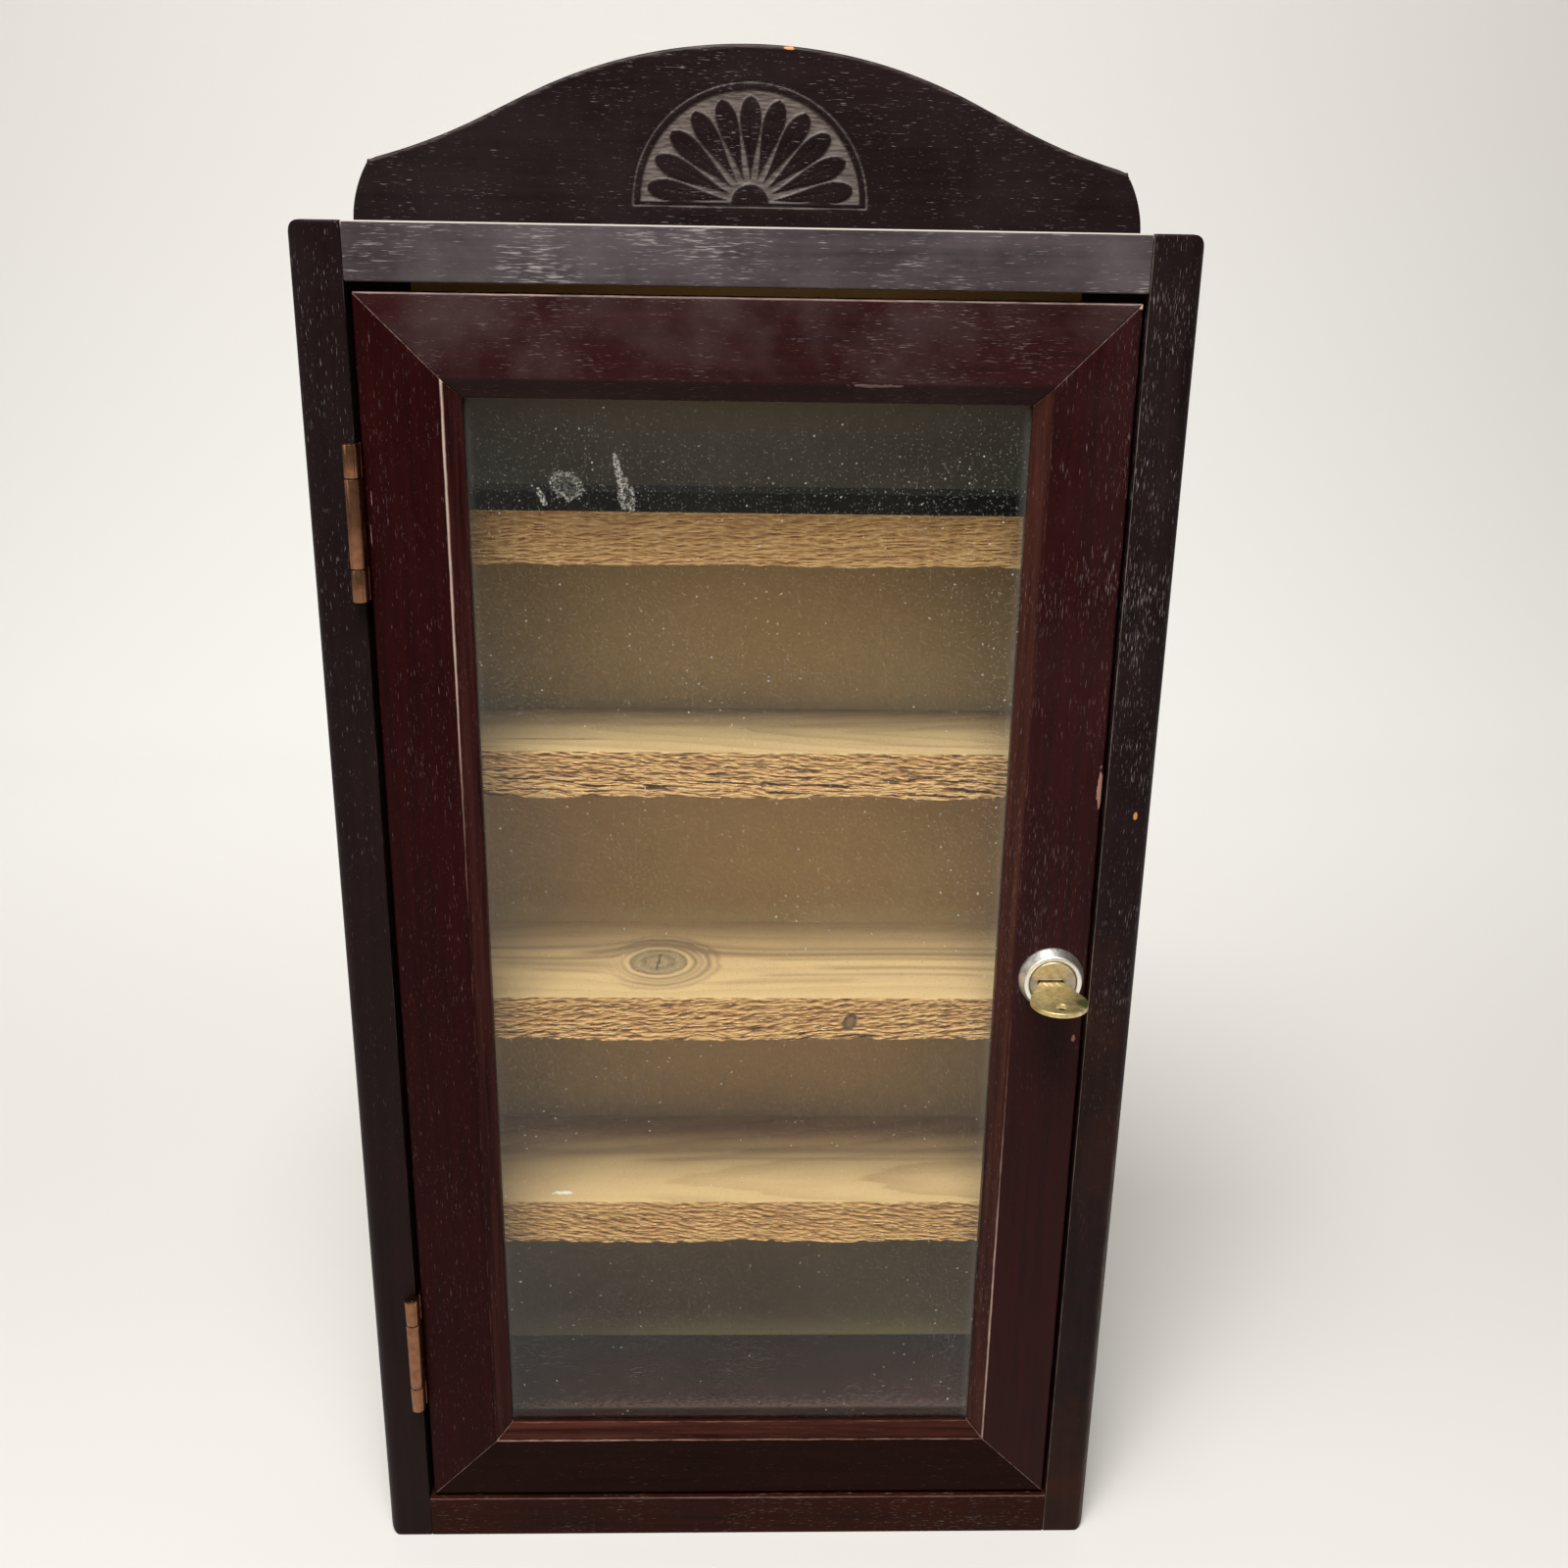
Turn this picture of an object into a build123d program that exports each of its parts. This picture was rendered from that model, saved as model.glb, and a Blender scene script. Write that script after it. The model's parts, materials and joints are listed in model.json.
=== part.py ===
from build123d import *
import os

# Knife display cabinet: a narrow glazed case for a shop counter, with four shelves, a mitred
# door on two butt hinges, a cam lock with its key, and a shaped crest on top.
# Millimetres. X runs to the right, Y to the back, Z up. The origin is the middle of the base.

# Case
case_width = 330.0
case_depth = 124.0
case_height = 586.7
side_thickness = 19.6
top_thickness = 20.8
bottom_thickness = 21.0
outer_arris = 5.5               # rounding along the outer faces of the two sides
board_arris = 1.0               # worn front edges of the top and bottom boards

# Back panel in its rebate
panel_thickness = 4.8
rebate_depth = 5.6
rebate_width = 7.0
panel_play = 0.5

# Crest board
crest_thickness = 18.0
crest_setback = 19.0
crest_height = 61.7
crest_half_base = 145.0
crest_arch_radius = 190.0
crest_slope = 25.3              # steepest slope of the top edge, in degrees
crest_straight = 16.4
crest_cove_radius = 230.0
crest_cove_turn = 11.3          # degrees that the cove turns back before its tip
crest_arris = 1.2

# Shelves, from the top one down: height of the top face, front edge from the case front, thickness
shelf_tops = (478.6, 374.6, 265.4, 156.3)
shelf_setbacks = (42.0, 49.2, 34.4, 40.7)
shelf_thicknesses = (23.3, 21.9, 21.9, 22.7)
shelf_play = 0.2
cleat_size = 12.0
cleat_chamfer = 3.0
cleat_length = 62.0
cleat_back_gap = 4.0

# Door frame: the section is measured from the outer edge towards the glass
door_left = -143.45
door_right = 144.05
door_bottom = 22.6
door_top = 562.6
door_thickness = 18.0
door_recess = 1.5
member_width = 37.2
member_flat = 29.9
bevel_depth = 4.6
lip_depth = 6.8                 # front face to the rebate that holds the glass
glass_rebate = 7.2
door_arris = 1.2
nose_radius = 2.4
glass_thickness = 3.0
glass_play = 0.7
bead_width = 6.4
bead_round = 3.0
spline_length = 21.0
spline_width = 20.0
spline_thickness = 3.0
spline_start = 12.7             # from the outer corner, along the mitre

# Door stops
stop_size = 12.0
stop_length = 30.0
stop_heights = (70.0, 510.0)
stop_gap = 0.5

# Butt hinges
hinge_length = 59.0
hinge_from_end = 83.0           # from the door's end to the middle of the hinge
knuckle_radius = 3.1
end_knuckle = 12.6
knuckle_gap = 0.3
hinge_pin_radius = 1.4
hinge_bore_play = 0.05
leaf_thickness = 0.9
leaf_depth = 14.0
hinge_axis_x = -146.55
hinge_axis_out = 3.3            # in front of the case

# Cam lock
lock_x = 129.0
lock_z = 291.5
bezel_radius = 13.7
bezel_front_radius = 11.95
bezel_height = 5.8
lock_body_radius = 9.4
lock_body_flats = 16.0
lock_body_length = 24.0
plug_radius = 7.52
plug_head_radius = 10.05
plug_head_depth = 2.8
plug_play = 0.08
nut_flats = 24.0
nut_thickness = 3.0
cam_thickness = 2.4
cam_reach = 22.5
cam_half_width = 6.0
cam_hub_radius = 7.2
tenon_size = 7.0
cam_screw_head = 4.8
cam_screw_crown = 1.4           # the rounded edge of its head, inwards
cam_screw_edge = 0.8            # and down
cam_screw_slot = (1.0, 0.7)     # width and depth
cam_screw_height = 2.0
cam_screw_shank = 2.0
cam_screw_length = 7.0
cam_slot_depth = 8.0
cam_slot_width = 4.8
cam_slot_below = 17.0           # from the lock's middle
cam_slot_above = 8.0

# Key
key_offset = -1.0               # the keyway sits a little left of the lock's middle
key_thickness = 2.0
blade_width = 9.0
blade_length = 21.0
keyway_play = 0.2
bow_radius = 11.7
bow_centre_out = 23.7           # from the door face to the middle of the bow
neck_width = 9.8
key_hole_radius = 2.5
key_tip_width = 3.0
key_cut_depths = (1.2, 0.7, 1.5, 1.0)   # left edge; the right edge has the rest of key_cut_sum
key_cut_sum = 2.0
key_cut_first = 5.0
key_cut_pitch = 3.4
key_cut_mouth = 1.4
key_cut_root = 0.4
key_groove = (0.6, 1.8)
key_groove_depth = 0.5

# Fasteners: the brads are square in section, and what repeats has flat sides instead of a full round
fastener_sides = 12
dowel_radius = 4.0
dowel_length = 30.0
dowel_in_side = 12.0
dowel_spacing = 70.0
brad_thickness = 1.4
brad_head_width = 3.2
brad_head_height = 0.5
panel_brad_length = 14.0
panel_brad_heights = (60.0, 215.0, 370.0, 525.0)
panel_brad_columns = (-90.0, 0.0, 90.0)
cleat_brad_length = 24.0
cleat_brad_spacing = 40.0
shelf_brad_length = 26.0
stop_brad_length = 24.0
stop_brad_inset = 7.0
bead_brad_thickness = 1.0
bead_brad_length = 15.0
crest_screw_columns = (-90.0, 0.0, 90.0)
crest_screw_length = 45.0
crest_screw_shank = 2.0         # radius under the head
crest_screw_head = 4.0
screw_taper = 2.0               # degrees, along the shank
hinge_screw_length = 12.0
hinge_screw_shank = 1.2
hinge_screw_head = 2.3
hinge_screw_places = ((-21.0, 9.5), (0.0, 5.0), (21.0, 9.5))    # height from the middle, and depth

# Places that follow from the sizes above
front = -case_depth / 2
back = case_depth / 2
inner_x = case_width / 2 - side_thickness
ceiling = case_height - top_thickness
panel_front = back - rebate_depth
door_front = front + door_recess
door_back = door_front + door_thickness
glass_front = door_front + lip_depth
glass_back = glass_front + glass_thickness
door_width = door_right - door_left
door_height = door_top - door_bottom
rebate_wall = member_width - glass_rebate
hinge_axis_y = front - hinge_axis_out
hinge_heights = (door_top - hinge_from_end, door_bottom + hinge_from_end)
bezel_face = door_front - bezel_height
lock_body_end = door_front + lock_body_length
cam_front = lock_body_end + 0.2
cam_back = cam_front + cam_thickness


def block(low, high):
    """A box between two opposite corners."""
    low = Vector(*low)
    size = Vector(*high) - low
    corner = (Align.MIN, Align.MIN, Align.MIN)
    return Pos(low) * Box(size.X, size.Y, size.Z, align=corner)


def rod(start, direction, length, radius):
    """A round bar from a start point along a direction."""
    bottom = (Align.CENTER, Align.CENTER, Align.MIN)
    return Plane(origin=start, z_dir=direction) * Cylinder(radius, length, align=bottom)


def brad(start, direction, length, thickness=brad_thickness):
    """A square nail without a head, from a start point along a direction."""
    bottom = (Align.CENTER, Align.CENTER, Align.MIN)
    return Plane(origin=start, z_dir=direction) * Box(thickness, thickness, length, align=bottom)


def headed_brad(start, direction, length):
    """A brad whose flat head stands on the surface at the start point."""
    top = (Align.CENTER, Align.CENTER, Align.MAX)
    head = Box(brad_head_width, brad_thickness, brad_head_height, align=top)
    return brad(start, direction, length) + Plane(origin=start, z_dir=direction) * head


def turned(outline, origin, direction):
    """A turned piece: the outline is (radius, distance) pairs, closed on the axis."""
    first = outline[0]
    last = outline[-1]
    points = [(0, first[1]), *outline]
    if last[0] > 0:
        points.append((0, last[1]))
    half = make_face(Polyline(*points, close=True))
    solid = revolve(Plane.XZ * half, axis=Axis.Z)
    return Plane(origin=origin, z_dir=direction) * solid


def dowel(start, direction, length, radius):
    """A straight peg with flat sides, from a start point along a direction."""
    peg = extrude(RegularPolygon(radius, fastener_sides), length)
    return Plane(origin=start, z_dir=direction) * peg


def countersunk_screw(head, direction, length, shank, head_radius):
    """A tapered wood screw with a flat head; the head's face is at the point head."""
    sink = head_radius - shank
    cone = extrude(RegularPolygon(head_radius, fastener_sides, major_radius=False), sink, taper=45)
    shaft = extrude(RegularPolygon(shank, fastener_sides, major_radius=False), length - sink,
                    taper=screw_taper)
    return Plane(origin=head, z_dir=direction) * (cone + Pos(0, 0, sink) * shaft)


def without(piece, fasteners):
    """The piece with a hole for each fastener."""
    for fastener in fasteners:
        piece = piece - fastener
    return piece


def side_board(sign):
    """A side: rounded all round its outer face and rebated at the back for the panel."""
    outer = sign * case_width / 2
    inner = sign * inner_x
    board = block((min(outer, inner), front, 0), (max(outer, inner), back, case_height))
    face = board.faces().sort_by(Axis.X)[-1 if sign > 0 else 0]
    board = fillet(face.edges(), outer_arris)
    rebate = block((-inner_x - rebate_width, panel_front, bottom_thickness - rebate_width),
                   (inner_x + rebate_width, back, ceiling + rebate_width))
    return board - rebate


def cross_board(low, high, sign):
    """The top or bottom board between the sides, with its own length of the panel rebate."""
    board = block((-inner_x, front, low), (inner_x, back, high))
    front_edges = board.edges().filter_by(Axis.X).group_by(Axis.Y)[0]
    board = fillet(front_edges, board_arris)
    edge = high if sign > 0 else low
    rebate = block((-inner_x, panel_front, edge - rebate_width), (inner_x, back, edge + rebate_width))
    return board - rebate


def back_panel():
    reach = rebate_width - panel_play
    return block((-inner_x - reach, panel_front, bottom_thickness - reach),
                 (inner_x + reach, panel_front + panel_thickness, ceiling + reach))


def panel_brads():
    """The nails that hold the back panel in its rebate, by the board that each goes into."""
    inset = rebate_width / 2
    places = {
        "side_left": [(-inner_x - inset, z) for z in panel_brad_heights],
        "side_right": [(inner_x + inset, z) for z in panel_brad_heights],
        "bottom_board": [(x, bottom_thickness - inset) for x in panel_brad_columns],
        "top_board": [(x, ceiling + inset) for x in panel_brad_columns],
    }
    face = panel_front + panel_thickness
    return {board: [headed_brad((x, face, z), (0, -1, 0), panel_brad_length) for x, z in rows]
            for board, rows in places.items()}


def corner_dowels(sign, z):
    """The two dowels in one corner joint of the case."""
    x = sign * (inner_x + dowel_in_side)
    return [dowel((x, y, z), (-sign, 0, 0), dowel_length, dowel_radius)
            for y in (-dowel_spacing / 2, dowel_spacing / 2)]


def crest_outline():
    """Half of the crest, from the middle of its top to its foot: arch, straight, cove and end."""
    arch = JernArc((0, crest_height), (1, 0), crest_arch_radius, -crest_slope)
    straight = Line(arch @ 1, (arch @ 1) + (arch % 1) * crest_straight)
    cove = JernArc(straight @ 1, straight % 1, crest_cove_radius, crest_cove_turn)
    end = TangentArc((crest_half_base, 0), cove @ 1, tangent=(0, 1))
    foot = Polyline((crest_half_base, 0), (0, 0), (0, crest_height))
    return make_face([arch, straight, cove, end, foot])


def crest_board():
    half = crest_outline()
    outline = half + mirror(half, about=Plane.YZ)
    board = extrude(Plane.XZ * outline, -crest_thickness)
    board = Pos(0, front + crest_setback, case_height) * board
    top_edges = [edge for face in board.faces().sort_by(Axis.Y)[::len(board.faces()) - 1]
                 for edge in face.edges() if edge.center().Z > case_height + crest_arris]
    return chamfer(top_edges, crest_arris)


def crest_screws():
    """Three screws, up through the top board into the crest."""
    y = front + crest_setback + crest_thickness / 2
    return [countersunk_screw((x, y, ceiling), (0, 0, 1), crest_screw_length, crest_screw_shank,
                              crest_screw_head) for x in crest_screw_columns]


def shelf(index):
    """One shelf, with slightly eased front edges."""
    top = shelf_tops[index]
    low = top - shelf_thicknesses[index]
    y = front + shelf_setbacks[index]
    board = block((-inner_x + shelf_play, y, low), (inner_x - shelf_play, panel_front, top))
    front_edges = board.edges().filter_by(Axis.X).group_by(Axis.Y)[0]
    return fillet(front_edges, board_arris)


def shelf_cleat(index, sign):
    """The strip under one end of a shelf, with its inner lower edge chamfered."""
    top = shelf_tops[index] - shelf_thicknesses[index]
    outer = sign * inner_x
    inner = sign * (inner_x - cleat_size)
    y = panel_front - cleat_back_gap
    strip = block((min(outer, inner), y - cleat_length, top - cleat_size), (max(outer, inner), y, top))
    lower = strip.edges().filter_by(Axis.Y).group_by(Axis.Z)[0]
    return chamfer(lower.sort_by(Axis.X)[0 if sign > 0 else -1], cleat_chamfer)


def cleat_brads(index, sign):
    """Two nails through a cleat into the side, and one up into the shelf."""
    top = shelf_tops[index] - shelf_thicknesses[index]
    middle = panel_front - cleat_back_gap - cleat_length / 2
    inner = sign * (inner_x - cleat_size)
    brads = [brad((inner, middle + y, top - cleat_size / 2), (sign, 0, 0), cleat_brad_length)
             for y in (-cleat_brad_spacing / 2, cleat_brad_spacing / 2)]
    start = (sign * (inner_x - cleat_size / 2), middle, top - cleat_size)
    return brads + [brad(start, (0, 0, 1), shelf_brad_length)]


def door_stop(low):
    """A block on the right side that the closed door comes to rest on."""
    y = door_back + stop_gap
    return block((inner_x - stop_size, y, low), (inner_x, y + stop_size, low + stop_length))


def stop_brads(low):
    y = door_back + stop_gap + stop_size / 2
    return [brad((inner_x - stop_size, y, low + z), (1, 0, 0), stop_brad_length)
            for z in (stop_brad_inset, stop_length - stop_brad_inset)]


def member_section():
    """Section of a door member: x from its outer edge to the glass, y from front to back."""
    outline = Polyline((0, 0), (member_flat, 0), (member_width, bevel_depth),
                       (member_width, lip_depth), (rebate_wall, lip_depth),
                       (rebate_wall, door_thickness), (0, door_thickness), close=True)
    face = make_face(outline)
    face = fillet(face.vertices().filter_by(lambda v: v.X < 1 and v.Y < 1), door_arris)
    nose = face.vertices().filter_by(lambda v: abs(v.X - member_flat) < 0.1 and v.Y < 0.1)
    return fillet(nose, nose_radius)


def bead_section():
    """Section of a glazing bead, in the place that it takes in the member's section."""
    low = lip_depth + glass_thickness
    high = rebate_wall + bead_width
    outline = Polyline((rebate_wall, low), (high, low), (high, door_thickness),
                       (rebate_wall, door_thickness), close=True)
    face = make_face(outline)
    inner = face.vertices().filter_by(lambda v: v.X > high - 1 and v.Y > door_thickness - 1)
    return fillet(inner, bead_round)


def mitred(section, length):
    """A length of the section with its ends cut at 45 degrees, the outer edge being the long one."""
    bar = extrude(section, length)
    reach = member_width + 1
    keep = make_face(Polyline((0, 0, 0), (reach, 0, reach), (reach, 0, length - reach),
                              (0, 0, length), close=True))
    return bar & extrude(keep, door_thickness, dir=(0, 1, 0))


def bead_brads(length, count):
    """Headless nails through a bead into its member, evenly spaced."""
    y = (lip_depth + glass_thickness + door_thickness) / 2
    step = (length - 2 * member_width) / count
    starts = [(rebate_wall + bead_width, y, member_width + step * (i + 0.5)) for i in range(count)]
    return [brad(start, (-1, 0, 0), bead_brad_length, bead_brad_thickness) for start in starts]


def door_places():
    """Where each member's own section goes: its outer corner, its inward and its long direction."""
    return {
        "stile_left": (Plane((door_left, door_front, door_bottom), (1, 0, 0), (0, 0, 1)), door_height, 4),
        "stile_right": (Plane((door_right, door_front, door_top), (-1, 0, 0), (0, 0, -1)), door_height, 4),
        "rail_top": (Plane((door_left, door_front, door_top), (0, 0, -1), (1, 0, 0)), door_width, 2),
        "rail_bottom": (Plane((door_right, door_front, door_bottom), (0, 0, 1), (-1, 0, 0)), door_width, 2),
    }


def mitre_splines():
    """Four thin tongues, each let into both members of a mitre."""
    middle = spline_start + spline_length / 2
    y = door_front + door_thickness * 0.75
    splines = []
    for x, z, turn in ((door_left, door_bottom, -45), (door_right, door_bottom, -135),
                       (door_right, door_top, -225), (door_left, door_top, -315)):
        tongue = Pos(middle, 0, 0) * Box(spline_length, spline_thickness, spline_width)
        splines.append(Pos(x, y, z) * Rot(0, turn, 0) * tongue)
    return splines


def glass_pane():
    reach = rebate_wall + glass_play
    return block((door_left + reach, glass_front, door_bottom + reach),
                 (door_right - reach, glass_back, door_top - reach))


def knuckle(low, high):
    return rod((hinge_axis_x, hinge_axis_y, low), (0, 0, 1), high - low, knuckle_radius)


def hinge_split(middle):
    """Heights of a hinge's two ends and of the two breaks between its knuckles."""
    low = middle - hinge_length / 2
    high = middle + hinge_length / 2
    return low, low + end_knuckle, high - end_knuckle, high


def hinge_case_leaf(middle):
    """The leaf let into the left side, with the two end knuckles."""
    low, lower_break, upper_break, high = hinge_split(middle)
    leaf_back = front + leaf_depth
    plate = block((-inner_x - leaf_thickness, front + 0.1, low), (-inner_x, leaf_back, high))
    arm_front = hinge_axis_y
    ends = [(low, lower_break - knuckle_gap / 2), (upper_break + knuckle_gap / 2, high)]
    for z1, z2 in ends:
        plate = plate + block((-inner_x - leaf_thickness, arm_front, z1), (-inner_x, leaf_back, z2))
        plate = plate + knuckle(z1, z2)
    bore = rod((hinge_axis_x, hinge_axis_y, low), (0, 0, 1), hinge_length, hinge_pin_radius)
    return plate - bore


def hinge_door_leaf(middle):
    """The leaf on the door's edge, with the long middle knuckle."""
    low, lower_break, upper_break, high = hinge_split(middle)
    z1 = lower_break + knuckle_gap / 2
    z2 = upper_break - knuckle_gap / 2
    leaf_back = front + leaf_depth
    right = door_left
    left = right - leaf_thickness
    plate = block((left, front + 0.1, low), (right, leaf_back, high))
    plate = plate + block((left, hinge_axis_y, z1), (right, leaf_back, z2)) + knuckle(z1, z2)
    radius = hinge_pin_radius + hinge_bore_play
    bore = rod((hinge_axis_x, hinge_axis_y, z1), (0, 0, 1), z2 - z1, radius)
    return plate - bore


def hinge_pin(middle):
    low = middle - hinge_length / 2
    return rod((hinge_axis_x, hinge_axis_y, low), (0, 0, 1), hinge_length, hinge_pin_radius)


def hinge_screws(face_x, direction):
    """Three staggered screws for each hinge, their heads flush with the leaf."""
    return [countersunk_screw((face_x, front + y, middle + z), (direction, 0, 0), hinge_screw_length,
                              hinge_screw_shank, hinge_screw_head)
            for middle in hinge_heights for z, y in hinge_screw_places]


def lock_housing():
    """Bevelled bezel and flatted body, bored through for the plug."""
    head_seat = plug_head_radius + plug_play
    seat_depth = plug_head_depth + 0.3
    outline = [(head_seat, 0), (bezel_front_radius, 0), (bezel_radius, bezel_height - 0.8),
               (bezel_radius, bezel_height), (lock_body_radius, bezel_height),
               (lock_body_radius, bezel_height + lock_body_length),
               (plug_radius + plug_play, bezel_height + lock_body_length),
               (plug_radius + plug_play, seat_depth), (head_seat, seat_depth)]
    half = make_face(Polyline(*outline, close=True))
    housing = revolve(Plane.XZ * half, axis=Axis.Z)
    for sign in (-1, 1):
        edge = sign * lock_body_flats / 2
        outside = sign * (lock_body_radius + 1)
        flat = block((min(edge, outside), -lock_body_radius, bezel_height),
                     (max(edge, outside), lock_body_radius, bezel_height + lock_body_length))
        housing = housing - flat
    return Plane(origin=(lock_x, bezel_face, lock_z), z_dir=(0, 1, 0), x_dir=(1, 0, 0)) * housing


def lock_nut():
    """Hexagonal nut that clamps the lock against the back of the door."""
    hexagon = RegularPolygon(nut_flats / 2, 6, major_radius=False, rotation=30)
    nut = extrude(hexagon - Circle(lock_body_radius), nut_thickness)
    nut = nut & Pos(0, 0, nut_thickness / 2) * Cylinder(nut_flats / 2 + 1.2, nut_thickness)
    return Plane(origin=(lock_x, door_back, lock_z), z_dir=(0, 1, 0), x_dir=(1, 0, 0)) * nut


def keyway():
    """The slot in the plug, mouth to end."""
    half = blade_width / 2 + keyway_play
    rise = key_thickness / 2 + keyway_play
    x = lock_x + key_offset
    return block((x - half, bezel_face - 1, lock_z - rise),
                 (x + half, bezel_face + blade_length + 2, lock_z + rise))


def lock_plug():
    """Turning plug: broad chamfered head, round body, and a square tenon for the cam."""
    face = 0.2
    end = cam_front - 0.1 - bezel_face
    outline = [(plug_head_radius - 0.7, face), (plug_head_radius, face + 0.7),
               (plug_head_radius, face + plug_head_depth), (plug_radius, face + plug_head_depth),
               (plug_radius, end)]
    plug = turned(outline, (lock_x, bezel_face, lock_z), (0, 1, 0))
    half = tenon_size / 2
    tenon = block((lock_x - half, bezel_face + end, lock_z - half), (lock_x + half, cam_back, lock_z + half))
    return plug + tenon - keyway()


def lock_cam():
    """The arm on the end of the plug; at rest it hangs down and the door is free."""
    tip = cam_reach - cam_half_width
    arm = Pos(0, -tip / 2) * Rectangle(2 * cam_half_width, tip)
    shape = Circle(cam_hub_radius) + arm + Pos(0, -tip) * Circle(cam_half_width)
    shape = shape - Rectangle(tenon_size, tenon_size)
    plate = extrude(Plane.XZ * shape, -cam_thickness)
    return Pos(lock_x, cam_front, lock_z) * plate


def cam_screw():
    """The slotted screw that holds the cam on its tenon."""
    crown = cam_screw_head - cam_screw_crown
    outline = [(crown, 0), (cam_screw_head, cam_screw_edge), (cam_screw_head, cam_screw_height),
               (cam_screw_shank, cam_screw_height), (cam_screw_shank, cam_screw_height + cam_screw_length)]
    head = (lock_x, cam_back + cam_screw_height, lock_z)
    slot_width, slot_depth = cam_screw_slot
    slot = Pos(head) * Box(3 * cam_screw_head, 2 * slot_depth, slot_width)
    return turned(outline, head, (0, -1, 0)) - slot


def key():
    """Flat key: round bow with its ring hole, sloping neck, and a blade notched on both edges."""
    x = lock_x + key_offset
    shoulder = bezel_face - 0.4
    bow_y = door_front - bow_centre_out
    tip = bezel_face + blade_length
    half = blade_width / 2
    point = key_tip_width / 2
    blade = Polyline((-half, shoulder), (-half, tip - 2 * point), (-point, tip), (point, tip),
                     (half, tip - 2 * point), (half, shoulder), close=True)
    chord = bow_radius * 0.82
    neck = Polyline((-neck_width / 2, shoulder), (neck_width / 2, shoulder), (chord, bow_y + bow_radius / 2),
                    (-chord, bow_y + bow_radius / 2), close=True)
    outline = make_face(blade) + make_face(neck) + Pos(0, bow_y) * Circle(bow_radius)
    outline = outline - Pos(0, bow_y - 2.2 * key_hole_radius) * Circle(key_hole_radius)
    for i, depth in enumerate(key_cut_depths):
        y = bezel_face + key_cut_first + key_cut_pitch * i
        for sign, cut in ((-1, depth), (1, key_cut_sum - depth)):
            edge = sign * (half + 0.05)
            root = edge - sign * cut
            notch = Polyline((edge, y - key_cut_mouth), (root, y - key_cut_root), (root, y + key_cut_root),
                             (edge, y + key_cut_mouth), close=True)
            outline = outline - make_face(notch)
    blank = extrude(outline, key_thickness)
    groove = block((key_groove[0], shoulder - 3, key_thickness - key_groove_depth),
                   (key_groove[1], tip + 1, key_thickness + 1))
    return Pos(x, 0, lock_z - key_thickness / 2) * (blank - groove)


def cam_slot():
    """Slot in the right side that the cam turns into."""
    middle = (cam_front + cam_back) / 2
    return block((inner_x - 1, middle - cam_slot_width / 2, lock_z - cam_slot_below),
                 (inner_x + cam_slot_depth, middle + cam_slot_width / 2, lock_z + cam_slot_above))


# Fasteners come first, so that each board gets its holes
top_dowels = {sign: corner_dowels(sign, case_height - top_thickness / 2) for sign in (-1, 1)}
bottom_dowels = {sign: corner_dowels(sign, bottom_thickness / 2) for sign in (-1, 1)}
panel_nails = panel_brads()
crest_fixings = crest_screws()
ends = [(index, sign) for index in range(len(shelf_tops)) for sign in (-1, 1)]
cleat_nails = {end: cleat_brads(*end) for end in ends}
stop_nails = [nail for low in stop_heights for nail in stop_brads(low)]
case_screws = hinge_screws(-inner_x, -1)
door_screws = hinge_screws(door_left - leaf_thickness, 1)
splines = mitre_splines()

parts = {}

left_mortises = [block((-inner_x - leaf_thickness, front - 1, z - hinge_length / 2),
                       (-inner_x, front + leaf_depth, z + hinge_length / 2)) for z in hinge_heights]
left_fixings = case_screws + left_mortises + panel_nails["side_left"]
right_fixings = stop_nails + [cam_slot()] + panel_nails["side_right"]
for (index, sign), nail_set in cleat_nails.items():
    if sign < 0:
        left_fixings += nail_set[:2]
    else:
        right_fixings += nail_set[:2]
parts["side_left"] = without(side_board(-1), left_fixings + top_dowels[-1] + bottom_dowels[-1])
parts["side_right"] = without(side_board(1), right_fixings + top_dowels[1] + bottom_dowels[1])
top_fixings = top_dowels[-1] + top_dowels[1] + crest_fixings + panel_nails["top_board"]
parts["top_board"] = without(cross_board(ceiling, case_height, -1), top_fixings)
bottom_fixings = bottom_dowels[-1] + bottom_dowels[1] + panel_nails["bottom_board"]
parts["bottom_board"] = without(cross_board(0, bottom_thickness, 1), bottom_fixings)
all_dowels = [dowel for joints in (bottom_dowels, top_dowels) for pair in joints.values() for dowel in pair]
parts["corner_dowels"] = Compound(children=all_dowels)
all_panel_nails = [nail for nail_set in panel_nails.values() for nail in nail_set]
parts["back_panel"] = without(back_panel(), all_panel_nails)
parts["panel_brads"] = Compound(children=all_panel_nails)

parts["crest_board"] = without(crest_board(), crest_fixings)
parts["crest_screws"] = Compound(children=crest_fixings)

for index in range(len(shelf_tops)):
    shelf_nails = [cleat_nails[(index, sign)][2] for sign in (-1, 1)]
    parts[f"shelf_{index + 1}"] = without(shelf(index), shelf_nails)
for (index, sign), nail_set in cleat_nails.items():
    hand = "left" if sign < 0 else "right"
    parts[f"shelf_cleat_{hand}_{index + 1}"] = without(shelf_cleat(index, sign), nail_set)
parts["cleat_brads"] = Compound(children=[nail for nail_set in cleat_nails.values() for nail in nail_set])

for name, low in zip(("lower", "upper"), stop_heights):
    parts[f"door_stop_{name}"] = without(door_stop(low), stop_brads(low))
parts["stop_brads"] = Compound(children=stop_nails)

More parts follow.
